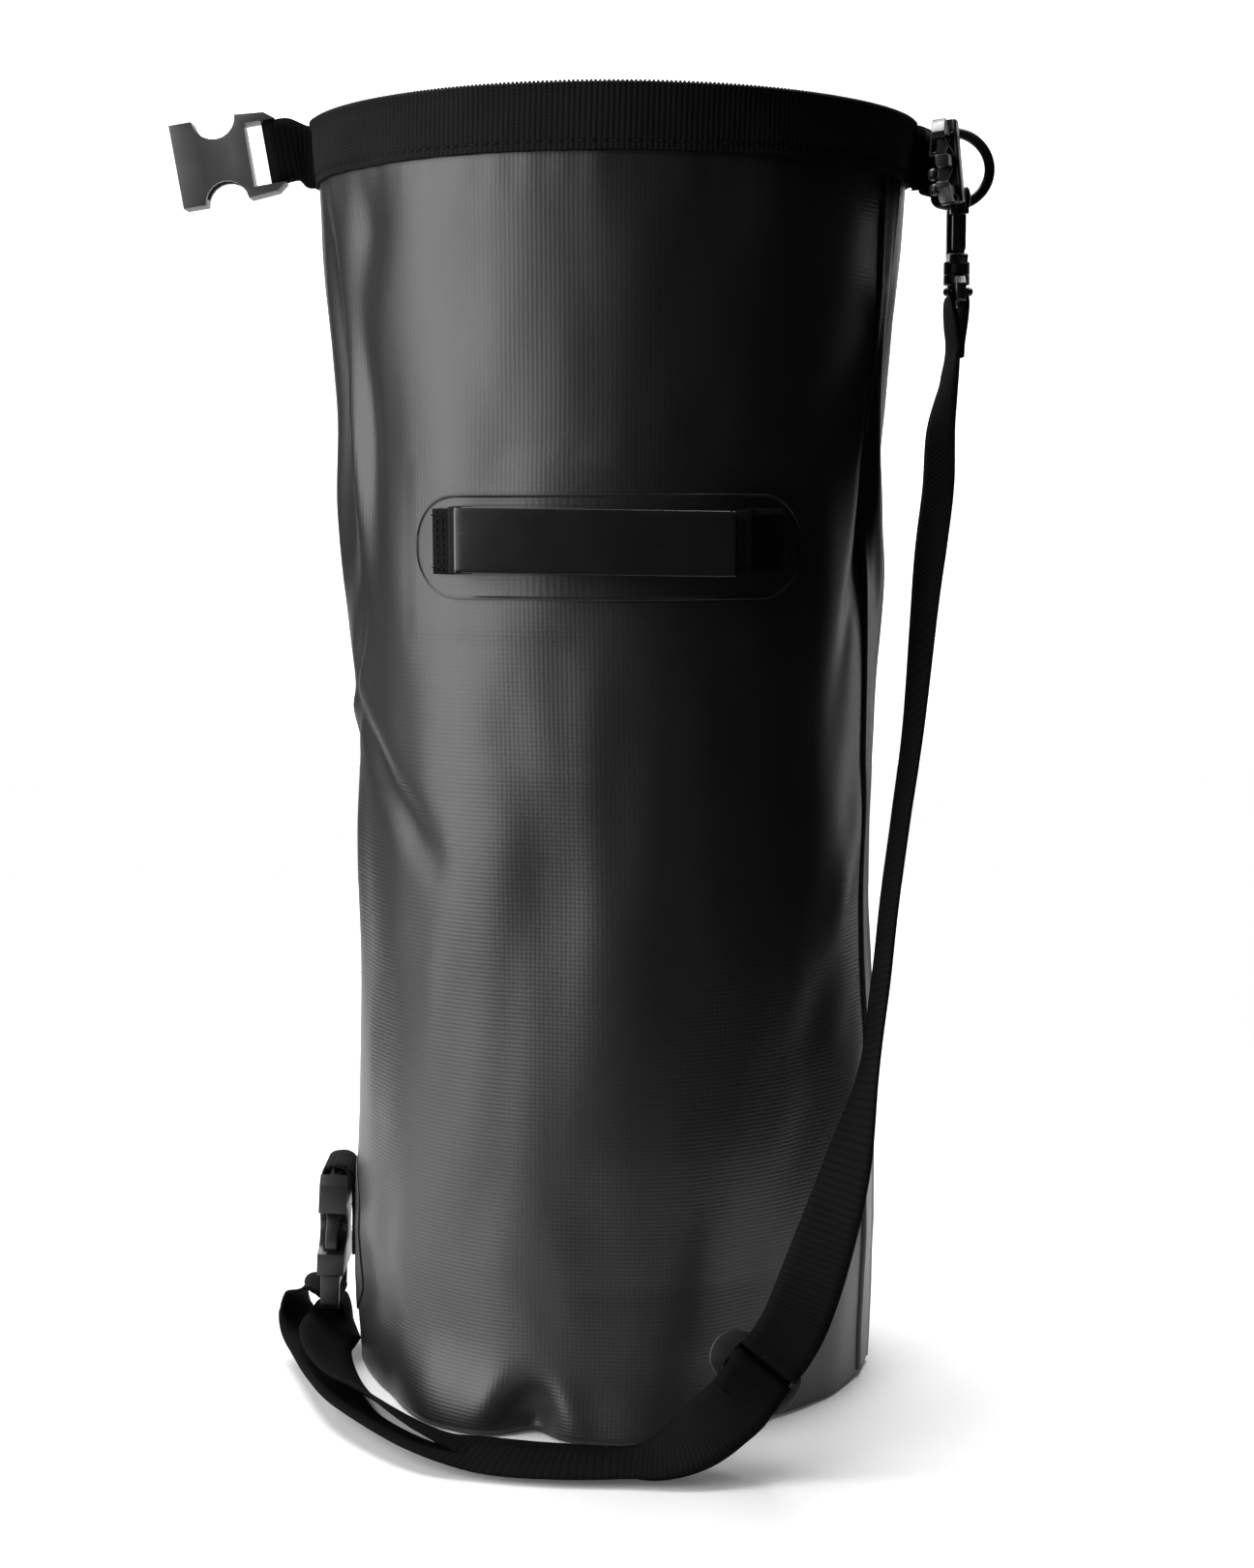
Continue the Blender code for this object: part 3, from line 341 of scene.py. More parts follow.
def moulded_plastic(name, base):
    """Acetal: satin, with a faint spark texture."""
    made = Finish(name, base, 0.30)
    cloud = made.noise(90.0, 4.0)
    made.rough(0.32 + cloud * 0.14)
    made.bump(made.noise(2600.0, 2.0), 0.00002, 0.5)
    made.colour(cloud, tuple(c * 0.75 for c in base), tuple(c * 1.4 for c in base))
    return made.material


def vinyl_grip():
    """Glossy sleeve with fine handling scratches and a dusty bloom."""
    made = Finish("vinyl_grip", (0.009, 0.009, 0.010), 0.22, Coat_Weight=0.15, Coat_Roughness=0.2)
    where = made.node("ShaderNodeMapping", {}, {0: made.solid(), "Rotation": (0.0, 0.5, 0.0),
                                                 "Scale": (1.0, 1.0, 7.0)})
    scratch = made.noise(150.0, 6.0, 0.75, where).between(0.66, 0.72)
    cloud = made.noise(34.0, 4.0)
    made.rough(0.17 + cloud * 0.16 + scratch * 0.10)
    made.colour(scratch * 0.5 + cloud * 0.2, (0.008, 0.008, 0.009), (0.032, 0.032, 0.034))
    made.bump(cloud * 0.8 + scratch * 0.2, 0.00022, 0.6)
    return made.material


def coated_steel():
    made = Finish("coated_steel", (0.012, 0.012, 0.013), 0.28, Metallic=0.25)
    cloud = made.noise(120.0, 4.0)
    made.rough(0.22 + cloud * 0.14)
    made.bump(made.noise(700.0, 3.0), 0.00003, 0.5)
    return made.material


def plain_thread(name, colour):
    made = Finish(name, colour, 0.85, Specular_IOR_Level=0.15)
    cloud = made.noise(900.0, 3.0)
    made.colour(cloud, tuple(c * 0.6 for c in colour), tuple(min(1.0, c * 1.4) for c in colour))
    return made.material


CLOTH = coated_cloth()
RIM_WEB = ribbed_webbing("rim_webbing_weave", 0.0021, (0.0050, 0.0050, 0.0051), 0.00034)
STRAP_WEB = ribbed_webbing("strap_webbing_weave", 0.0013, (0.0027, 0.0026, 0.0025), 0.00022)
PLASTIC = moulded_plastic("moulded_plastic", (0.009, 0.009, 0.0095))
# The same acetal made lighter for the closure socket: painted sheen for the light that its face catches, not a paler
# or worn plastic.
SHEEN_PAINTED_PLASTIC = moulded_plastic("moulded_plastic_painted_sheen", (0.050, 0.050, 0.052))
GRIP = vinyl_grip()
STEEL = coated_steel()
THREAD = plain_thread("sewing_thread", (0.006, 0.006, 0.006))


# ------------------------------------------------------------------ building helpers
def finished(name, bm, material, body, slot, replaces=(), smooth=True):
    """The bmesh as a named piece that rides on a body."""
    mesh = bpy.data.meshes.new(name)
    bm.to_mesh(mesh)
    bm.free()
    mesh.materials.append(material)
    if smooth:
        mesh.shade_smooth()
    piece = bpy.data.objects.new(name, mesh)
    bpy.context.scene.collection.objects.link(piece)
    if body:
        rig.ride(piece, body)
    if slot:
        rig.slot(piece, slot)
    if replaces:
        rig.replaces(piece, *replaces)
    return piece


def thicken(piece, thickness, offset):
    """A wall of the given thickness; offset -1 lies inside the surface, 1 outside."""
    wall = piece.modifiers.new("wall", "SOLIDIFY")
    wall.thickness = thickness
    wall.offset = offset
    wall.use_even_offset = False
    return piece


def laid(columns, rows, place, spread, weld=False):
    """A grid whose points are put where place(u, v) says, with its UV map in metres."""
    bm = bmesh.new()
    bm.loops.layers.uv.new("UVMap")
    bmesh.ops.create_grid(bm, x_segments=columns, y_segments=rows, size=0.5, calc_uvs=True)
    layer = bm.loops.layers.uv["UVMap"]
    across = [v.co.x for v in bm.verts]
    up = [v.co.y for v in bm.verts]
    left, low = min(across), min(up)
    wide, tall = max(across) - left, max(up) - low
    spots = {v: ((v.co.x - left) / wide, (v.co.y - low) / tall) for v in bm.verts}
    for face in bm.faces:
        for loop in face.loops:
            u, v = spots[loop.vert]
            loop[layer].uv = (u * spread[0], v * spread[1])
    for vert, (u, v) in spots.items():
        vert.co = place(u, v)
    if weld:
        bmesh.ops.remove_doubles(bm, verts=bm.verts, dist=1e-6)
    return bm


def smooth_curve(values, samples):
    """A Catmull-Rom curve through a list of vectors."""
    padded = [values[0] * 2 - values[1], *values, values[-1] * 2 - values[-2]]
    spans = len(values) - 1
    curve = []
    for k in range(samples + 1):
        i = min(int(k / samples * spans), spans - 1)
        t = k / samples * spans - i
        a, b, c, d = padded[i:i + 4]
        curve.append(0.5 * ((2 * b) + (c - a) * t + (2 * a - 5 * b + 4 * c - d) * t * t
                            + (3 * b - a - 3 * c + d) * t ** 3))
    return curve


def tape(name, route, samples, body, material, replaces=(), width=WEB, square=True):
    """Flat webbing along (centre, across) pairs. Returns the piece and its centre line."""
    centres = smooth_curve([Vector(c) for c, a in route], samples)
    acrosses = smooth_curve([Vector(a).normalized() for c, a in route], samples)
    sides = []
    for i, across in enumerate(acrosses):
        ahead = centres[min(i + 1, samples)] - centres[max(i - 1, 0)]
        if square:
            across = across - ahead * across.dot(ahead) / ahead.length_squared
        sides.append(across.normalized())
    length = sum((b - a).length for a, b in zip(centres, centres[1:]))

    def place(u, v):
        i = min(round(u * samples), samples)
        return centres[i] + sides[i] * (v - 0.5) * width

    bm = laid(samples, 6, place, (length, width))
    piece = finished(name, bm, material, body, "webbing", replaces)
    thicken(piece, WEB_THICK, 0.0)
    return piece, centres


def ellipsoid(bm, place, half, around=6, up=4):
    """An ellipsoid of the given half sizes, added at the matrix place."""
    bmesh.ops.create_uvsphere(bm, u_segments=around, v_segments=up, radius=1.0,
                              matrix=place @ Matrix.Diagonal((*half, 1.0)))


def stitches(name, spots, body, length=0.0030, radius=0.00028):
    """Thread seen between needle holes: a small capsule for each (centre, direction)."""
    bm = bmesh.new()
    for centre, direction in spots:
        turn = Vector(direction).to_track_quat("X", "Z").to_matrix().to_4x4()
        ellipsoid(bm, Matrix.Translation(centre) @ turn, (length / 2, radius, radius))
    return finished(name, bm, THREAD, body, "webbing")


def moulding(node, body, bevel=0.0004, material=PLASTIC):
    """A CAD moulding with its edges rounded."""
    sharp = math.radians(28)
    bm = bmesh.new()
    bm.from_mesh(frame["nodes"][node].data)
    bmesh.ops.remove_doubles(bm, verts=bm.verts, dist=2e-6)
    bmesh.ops.dissolve_limit(bm, angle_limit=math.radians(0.6), verts=bm.verts, edges=bm.edges)
    edges = [e for e in bm.edges if len(e.link_faces) == 2 and e.calc_face_angle(0.0) > sharp]
    bmesh.ops.bevel(bm, geom=edges, offset=bevel, offset_type="OFFSET", segments=3, profile=0.5,
                    affect="EDGES", clamp_overlap=True, material=-1)
    bmesh.ops.triangulate(bm, faces=[f for f in bm.faces if len(f.verts) > 4])
    piece = finished(node + "_moulding", bm, material, body, "buckle_plastic", (node,), smooth=False)
    piece.data.shade_smooth()
    piece.data.set_sharp_from_angle(angle=math.radians(38))
    return piece


# ------------------------------------------------------------------ camera and studio
def glowing(name, grey, roughness, glow):
    """Studio paper that gives off a little white light of its own."""
    paper = Finish(name, (grey, grey, grey), roughness)
    paper.shader.inputs["Emission Color"].default_value = WHITE
    paper.shader.inputs["Emission Strength"].default_value = glow
    return paper.material


def studio():
    """The camera, a floor that narrows towards it, a white backdrop and three soft lights."""
    data = bpy.data.cameras.new("camera")
    data.lens = 54.11
    data.sensor_width = 36.0
    camera = bpy.data.objects.new("camera", data)
    camera.location = (0.0056, -1.0, 0.3607)
    camera.rotation_euler = (math.radians(90 - 6.49), 0.0, 0.0)
    bpy.context.scene.collection.objects.link(camera)
    bpy.context.scene.camera = camera

    bm = bmesh.new()
    bmesh.ops.create_grid(bm, x_segments=1, y_segments=1, size=1.0)
    near, far = (-0.42, 0.30, -0.26), (-0.90, 0.55, 1.3)
    for vert in bm.verts:
        left, right, y = near if vert.co.y < 0 else far
        vert.co = (left if vert.co.x < 0 else right, y, 0.0)
    floor = finished("floor", bm, glowing("paper_sweep", 0.78, 0.7, 0.05), None, None)
    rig.stage(floor)
    bm = bmesh.new()
    bmesh.ops.create_grid(bm, x_segments=1, y_segments=1, size=1.0,
                          matrix=Matrix.Diagonal((1.35, 0.8, 1.0, 1.0)))
    upright = Matrix.Translation((0, 2.6, 0.78)) @ Matrix.Rotation(math.pi / 2, 4, "X")
    bmesh.ops.transform(bm, matrix=upright, verts=bm.verts)
    wall = finished("backdrop", bm, glowing("backdrop_paper", 0.9, 0.8, 1.0), None, None)
    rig.stage(wall)

    def softbox(name, centre, facing, wide, tall, power):
        lamp = bpy.data.lights.new(name, "AREA")
        lamp.shape = "RECTANGLE"
        lamp.size, lamp.size_y = wide, tall
        lamp.energy = power
        holder = bpy.data.objects.new(name, lamp)
        holder.location = centre
        holder.rotation_euler = Vector(facing).to_track_quat("-Z", "Y").to_euler()
        bpy.context.scene.collection.objects.link(holder)

    softbox("softbox_left", (-1.22, -0.78, 0.85), (1.0, 0.12, 0.0), 1.6, 2.0, 54.0)
    softbox("softbox_top", (-0.15, 0.58, 1.95), (0.0, -0.15, -1.0), 1.9, 1.3, 90.0)
    softbox("strip_right", (0.95, 0.80, 0.42), (-0.95, -0.80, 0.0), 0.30, 0.9, 1.5)
    world = bpy.data.worlds.new("studio_air")
    world.use_nodes = True
    tree = world.node_tree
    air = tree.nodes["Background"]
    air.inputs[0].default_value = (0.010, 0.010, 0.010, 1.0)
    seen = tree.nodes.new("ShaderNodeBackground")
    seen.inputs[0].default_value = WHITE
    either = tree.nodes.new("ShaderNodeMixShader")
    tree.links.new(tree.nodes.new("ShaderNodeLightPath").outputs["Is Camera Ray"], either.inputs[0])
    tree.links.new(air.outputs[0], either.inputs[1])
    tree.links.new(seen.outputs[0], either.inputs[2])
    tree.links.new(either.outputs[0], tree.nodes["World Output"].inputs[0])
    bpy.context.scene.world = world
    bpy.context.scene.view_settings.view_transform = "Standard"


# ------------------------------------------------------------------ shoulder strap
def strap():
    """One webbing in three runs: hook to adjuster, on to the lower plug, and back."""
    along = Vector((-0.62, -0.17, -0.77)).normalized()
    across = (ADJUSTER_ACROSS - along * ADJUSTER_ACROSS.dot(along)).normalized()
    face = along.cross(across)
    toward = (0.0, -1.0, 0.0)

    def eye(x, z, twist=0.0):
        return (EYE + Vector((x, 0, z)), (twist, -1.0, 0.0))

    def slide(ahead, up):
        return (ADJUSTER_MID + along * ahead / 1000 + face * up / 1000, across)

    def plug(degrees):
        turn = math.radians(degrees)
        return (PLUG_END + Vector((FOLD * math.cos(turn), 0, FOLD * math.sin(turn))), toward)

    upper = [
        eye(0.0006, -0.0240, 0.06), eye(0.0008, -0.0180, 0.07),
        eye(0.0017, -0.0100, 0.08), eye(0.0027, -0.0040, 0.04),
        eye(0.0030, 0.0), eye(0.0021, 0.0021), eye(0.0, 0.0030),
        eye(-0.0021, 0.0021), eye(-0.0030, 0.0), eye(-0.0025, -0.0050, 0.05), eye(-0.0017, -0.0110, 0.08),
        eye(-0.0011, -0.0190, 0.07),
        ((0.1398, -0.006, 0.4200), (0.08, -1.0, 0)),
        ((0.1352, -0.016, 0.3980), (0.28, -1.0, 0)),
        ((0.1330, -0.027, 0.3730), (0.34, -1.0, 0)),
        ((0.1290, -0.039, 0.3480), (0.34, -1.0, 0)),
        ((0.1253, -0.050, 0.3232), (0.26, -1.0, 0)),
        ((0.1192, -0.069, 0.2780), (0.16, -1.0, 0)),
        ((0.1130, -0.083, 0.2430), (0.12, -1.0, 0)),
        ((0.1078, -0.094, 0.2122), (0.12, -1.0, 0)),
        ((0.1035, -0.104, 0.1810), (0.12, -1.0, 0)),
        ((0.0980, -0.115, 0.1480), (0.14, -1.0, 0)),
        ((0.0890, -0.124, 0.1125), (0.55, -0.8, -0.15)),
        ((0.0790, -0.131, 0.0820), (0.75, -0.55, -0.35)),
        ((0.0700, -0.1385, 0.0600), (0.78, -0.30, -0.52)),
        slide(-14.0, 3.2), slide(-9.6, 3.0), slide(-7.3, 2.8), slide(-5.9, 1.0),
        slide(-5.2, -0.9), slide(-3.9, -3.2), slide(-2.0, -4.6), slide(-0.2, -4.9),
    ]
    inner = [
        slide(0.2, -4.9), slide(2.0, -4.6), slide(3.9, -3.2), slide(5.2, -0.9),
        slide(5.9, 1.0), slide(7.3, 2.8), slide(9.6, 3.0), slide(14.0, 2.8),
        ((0.0360, -0.1430, 0.0175), (0.70, -0.50, -0.45)),
        ((0.0230, -0.1400, 0.0085), (0.35, -0.85, -0.30)),
        ((0.0070, -0.1355, 0.0025), (0.05, -1.0, -0.03)),
        ((-0.0200, -0.1295, 0.0012), (-0.10, -1.0, 0)),
        ((-0.0460, -0.1250, 0.0020), (-0.33, -0.94, 0.04)),
        ((-0.0691, -0.1165, 0.0060), (-0.52, -0.75, 0.40)),
        ((-0.0929, -0.0915, 0.0088), (-0.64, -0.45, 0.62)),
        ((-0.1075, -0.0730, 0.0088), (-0.68, -0.45, 0.58)),
        ((-0.1170, -0.0510, 0.0090), (-0.75, -0.40, 0.53)),
        ((-0.1228, -0.0300, 0.0118), (-0.80, -0.35, 0.48)),
        ((-0.1215, -0.0150, 0.0122), (-0.80, -0.42, 0.45)),
        ((-0.1202, -0.0060, 0.0128), (-0.62, -0.72, 0.30)),
        ((-0.1194, -0.0010, 0.0165), (-0.25, -0.95, 0.05)),
        plug(-30), plug(0), plug(45), plug(86),
    ]
    outer = [
        plug(94), plug(120), plug(145),
        ((-0.1300, -0.0003, 0.0272), (0.0, -1.0, 0.0)),
        ((-0.1345, -0.0012, 0.0266), (-0.12, -0.99, 0.0)),
        ((-0.1378, -0.0030, 0.0215), (-0.35, -0.93, 0.05)),
        ((-0.1372, -0.0080, 0.0135), (-0.45, -0.80, 0.35)),
        ((-0.1320, -0.0200, 0.0080), (-0.70, -0.60, 0.40)),
        ((-0.1240, -0.0400, 0.0062), (-0.78, -0.50, 0.40)),
        ((-0.1140, -0.0680, 0.0060), (-0.75, -0.52, 0.42)),
        ((-0.1008, -0.0960, 0.0060), (-0.70, -0.55, 0.45)),
        ((-0.0730, -0.1270, 0.0048), (-0.52, -0.80, 0.32)),
        ((-0.0480, -0.1370, 0.0042), (-0.33, -0.93, -0.02)),
        ((-0.0200, -0.1425, 0.0040), (-0.12, -1.0, -0.02)),
        ((0.0080, -0.1440, 0.0055), (0.05, -1.0, -0.05)),
        ((0.0250, -0.1468, 0.0123), (0.35, -0.85, -0.30)),
        ((0.0373, -0.1485, 0.0213), (0.70, -0.50, -0.45)),
        slide(14.0, 5.5), slide(9.6, 5.3), slide(6.0, 4.8), slide(3.0, 3.7),
        slide(0.0, 2.95), slide(-2.1, 2.1), slide(-2.95, 0.0), slide(-2.1, -2.1),
        slide(0.0, -2.95), slide(2.0, -2.1),
    ]
    runs = {}
    routes = (("upper", upper, 420), ("lower_inner", inner, 300), ("lower_outer", outer, 330))
    for name, route, samples in routes:
        piece, centres = tape("strap_" + name + "_webbing", route, samples, None, STRAP_WEB,
                              ("strap_" + name,))
        length = sum((b - a).length for a, b in zip(centres, centres[1:]))
        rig.cord(piece, exit=centres[0], length=length, diameter=WEB, far_end="object", stiffness="medium",
                lay="loose", path=centres)
        runs[name] = piece
    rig.blend(runs["upper"], "bag", "swivel_eye", start=(0.113, -0.083, 0.243), end=(0.143, 0.0, 0.430))
    for name in ("lower_inner", "lower_outer"):
        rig.blend(runs[name], "bag", "lower_buckle", start=(-0.118, -0.060, 0.005), end=(-0.1228, 0.0, 0.018))


# ------------------------------------------------------------------ the bag's cloth
EDGES = [  # height, left edge, right edge
    (0.000, -0.1090, 0.1095), (0.034, -0.1090, 0.1112), (0.060, -0.1112, 0.1118),
    (0.085, -0.1100, 0.1112), (0.111, -0.1085, 0.1101), (0.160, -0.1076, 0.1094),
    (0.211, -0.1070, 0.1082), (0.236, -0.1068, 0.1074), (0.261, -0.1066, 0.1071),
    (0.285, -0.1083, 0.1081), (0.310, -0.1103, 0.1094), (0.334, -0.1116, 0.1102),
    (0.358, -0.1122, 0.1103), (0.382, -0.1134, 0.1114), (0.406, -0.1151, 0.1137),
    (0.429, -0.1172, 0.1156), (0.453, -0.1192, 0.1173), (0.476, -0.1208, 0.1186),
    (0.496, -0.1220, 0.1205), (0.521, -0.1235, 0.1235),
]

# where the cloth is pushed in or out: girth, height, half length, half width, depth, lean of the long axis
FOLDS = [
    (0.132, 0.372, 0.045, 0.0055, -0.0042, 0.10),
    (0.147, 0.352, 0.040, 0.0060, 0.0030, -0.12),
    (0.120, 0.330, 0.028, 0.0060, -0.0020, 0.35),
    (0.155, 0.430, 0.050, 0.0070, -0.0020, 0.02),
    (-0.112, 0.478, 0.030, 0.0120, -0.0044, 0.10),
    (-0.145, 0.420, 0.055, 0.0075, -0.0046, -0.10),
    (-0.128, 0.392, 0.045, 0.0065, 0.0030, -0.14),
    (-0.116, 0.398, 0.045, 0.0070, -0.0030, -0.12),
    (-0.158, 0.362, 0.035, 0.0070, 0.0030, 0.10),
    (-0.140, 0.300, 0.026, 0.0055, -0.0034, 0.55),
    (-0.150, 0.286, 0.022, 0.0050, 0.0026, 0.95),
    (-0.118, 0.262, 0.034, 0.0070, -0.0030, -0.85),
    (-0.090, 0.240, 0.022, 0.0100, -0.0022, -0.75),
    (-0.150, 0.225, 0.040, 0.0080, 0.0016, -0.10),
    (-0.120, 0.060, 0.030, 0.0120, -0.0016, 0.50),
    (-0.150, 0.035, 0.022, 0.0060, 0.0026, 0.15),
    (0.115, 0.215, 0.040, 0.0110, 0.0024, 0.45),
    (0.095, 0.170, 0.035, 0.0120, -0.0022, 0.60),
    (0.122, 0.130, 0.040, 0.0120, 0.0022, 0.35),
    (0.085, 0.120, 0.040, 0.0140, -0.0018, 0.35),
    (0.060, 0.050, 0.045, 0.0160, -0.0020, -0.30),
    (0.010, 0.170, 0.035, 0.0260, 0.0012, 0.20),
    (-0.020, 0.215, 0.030, 0.0200, -0.0012, 0.30),
    (-0.010, 0.090, 0.030, 0.0220, -0.0012, -0.40),
    (-0.033, 0.006, 0.012, 0.0085, -0.0075, 0.10),
    (-0.050, 0.014, 0.012, 0.0060, 0.0014, 0.60),
    (-0.018, 0.012, 0.012, 0.0060, 0.0014, -0.45),
    (-0.026, 0.050, 0.030, 0.0110, -0.0012, -0.25),
    (-0.070, -0.004, 0.026, 0.0280, 0.0095, 0.0),
    (0.012, -0.004, 0.022, 0.0360, 0.0088, 0.0),
]


def wrapped(girth):
    """The girth brought back to between minus and plus half the way round."""
    return (girth + HALF_GIRTH) % (2 * HALF_GIRTH) - HALF_GIRTH


class Skin:
    """The bag's outer surface, by girth from the front centre and by height."""

    def __init__(self):
        self.rows = {}

    def row(self, height):
        key = round(height, 5)
        if key not in self.rows:
            heights = [edge[0] for edge in EDGES]
            left = float(np.interp(height, heights, [edge[1] for edge in EDGES]))
            right = float(np.interp(height, heights, [edge[2] for edge in EDGES]))
            share = max(0.0, (height - FLARE_START) / (BAG_HEIGHT - FLARE_START))
            pinch = 0.5 + 0.12 * share
            turn = np.linspace(-math.pi / 2, math.pi / 2, 181)
            depth = np.sign(turn) * np.abs(np.sin(turn)) ** (2 * pinch)
            low, high = 0.06, 0.14
            for _ in range(24):
                middle = (low + high) / 2
                x, y = (right - left) / 2 * np.cos(turn), middle * depth
                steps = np.hypot(np.diff(x), np.diff(y))
                low, high = (middle, high) if steps.sum() < HALF_GIRTH else (low, middle)
            lengths = np.concatenate([[0.0], np.cumsum(steps)])
            self.rows[key] = (lengths, x, y, (left + right) / 2)
        return self.rows[key]

    def flat(self, girth, height):
        lengths, x, y, middle = self.row(height)
        half = lengths[-1]
        girth = (girth + half) % (2 * half) - half
        side = -1.0 if girth < 0 else 1.0
        place = abs(girth)
        return Vector((middle + side * float(np.interp(place, lengths, x)),
                       float(np.interp(place, lengths, y)), height))

    def point(self, girth, height, out=0.0):
        """The creased surface, moved out along its normal."""
        here = self.flat(girth, height)
        ahead = self.flat(girth + 0.002, height) - self.flat(girth - 0.002, height)
        normal = Vector((ahead.y, -ahead.x, 0.0)).normalized()
        return here + normal * (out + self.crease(girth, height, normal))

    def crease(self, girth, height, normal):
        """How far the folds, the gathers and the welds push the cloth out."""
        girth = wrapped(girth)
        push = 0.0
        for g, h, long, wide, depth, lean in FOLDS:
            across, up = girth - g, height - h
            if abs(across) > 0.09 or abs(up) > 0.16:
                continue
            a = up * math.cos(lean) + across * math.sin(lean)
            b = across * math.cos(lean) - up * math.sin(lean)
            push += depth * math.exp(-(a / long) ** 2 - (b / wide) ** 2)
        where = Vector((normal.x, normal.y, height * 3.2))
        push += 0.0022 * noise.noise(where * 2.1 + Vector((3.1, 0, 7.7)))
        push += 0.0010 * noise.noise(where * 5.5)
        under_rim = math.exp(-((BAG_HEIGHT - 0.0265 - height) / 0.011) ** 2)
        if height < BAG_HEIGHT - 0.025:
            gather = noise.noise(Vector((girth * 95.0, 4.0, height * 12.0)))
            push += 0.0012 * under_rim * gather
        above_patch = math.exp(-((height - 0.3855) / 0.0022) ** 2)
        if abs(girth) < 0.085:
            push += 0.0005 * above_patch * noise.noise(Vector((girth * 130.0, 1.0, 0.0)))
            edge = max(abs(height - PATCH_MID) - 0.0325, 0.0) / 0.0016
            push += 0.00035 * math.exp(-edge * edge)
        stiff = math.exp(-(girth / 0.055) ** 4 - ((height - HANDLE_MID) / 0.030) ** 4)
        return push * (1.0 - 0.9 * stiff) * min(1.0, max(0.0, (BAG_HEIGHT - height) / 0.05))


SKIN = Skin()


def bag_cloth():
    """The welded tube, its base and the lap seam."""
    lift = [(0.030, 0.0010, 0.010), (-0.075, 0.0006, 0.02)]

    def place(u, v):
        girth = (u - 0.5) * 2 * HALF_GIRTH + HALF_GIRTH
        v = v ** 1.06
        low = sum(h * math.exp(-(wrapped(girth + g) / w) ** 2) for g, h, w in lift)
        height = 0.0008 + low * (1 - v) ** 8 + v * (BAG_HEIGHT - 0.0012 - 0.0008)
        return SKIN.point(girth, height, 0.0002)

    bm = laid(232, 180, place, (2 * HALF_GIRTH, BAG_HEIGHT), weld=True)
    tube = finished("bag_cloth", bm, CLOTH, "bag", "coated_cloth", ("body_tube",))
    thicken(tube, CLOTH_THICK, -1.0)
    area = 2 * HALF_GIRTH * BAG_HEIGHT
    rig.sheet(tube, flat=(2 * HALF_GIRTH, BAG_HEIGHT), held="gathered", rests_on=["base_panel"], area=area)

    def base(u, v):
        girth = (u - 0.5) * 2 * HALF_GIRTH
        if v > 0.7:
            return SKIN.point(girth, 0.0030 + (v - 0.7) / 0.3 * 0.015, -0.0022)
        edge = SKIN.point(girth, 0.0030, -0.0022)
        share = (v / 0.7) ** 0.8
        flat = Vector((edge.x * share, edge.y * share, 0.0016))
        flat.z += 0.0014 * share ** 30 + 0.0006 * noise.noise(flat * 18.0)
        return flat

    bm = laid(120, 24, base, (2 * HALF_GIRTH, 0.12), weld=True)
    piece = finished("base_cloth", bm, CLOTH, "bag", "coated_cloth", ("base_panel",))
    thicken(piece, CLOTH_THICK, 0.0)

    def seam(u, v):
        girth = 0.131 + SEAM_WIDTH * u
        height = 0.003 + v * (BAG_HEIGHT - 0.027)
        ridge = 0.0007 * math.exp(-((u - 0.10) / 0.07) ** 2) + 0.0006 * math.exp(-((u - 0.88) / 0.06) ** 2)
        edge = 0.0 if 0.02 < u < 0.98 else -0.0009
        return SKIN.point(girth, height, 0.0009 + ridge + edge)

    bm = laid(20, 150, seam, (SEAM_WIDTH, BAG_HEIGHT))
    tape_piece = finished("side_seam_weld", bm, CLOTH, "bag", "coated_cloth", ("side_seam_tape",))
    thicken(tape_piece, 0.0005, -1.0)


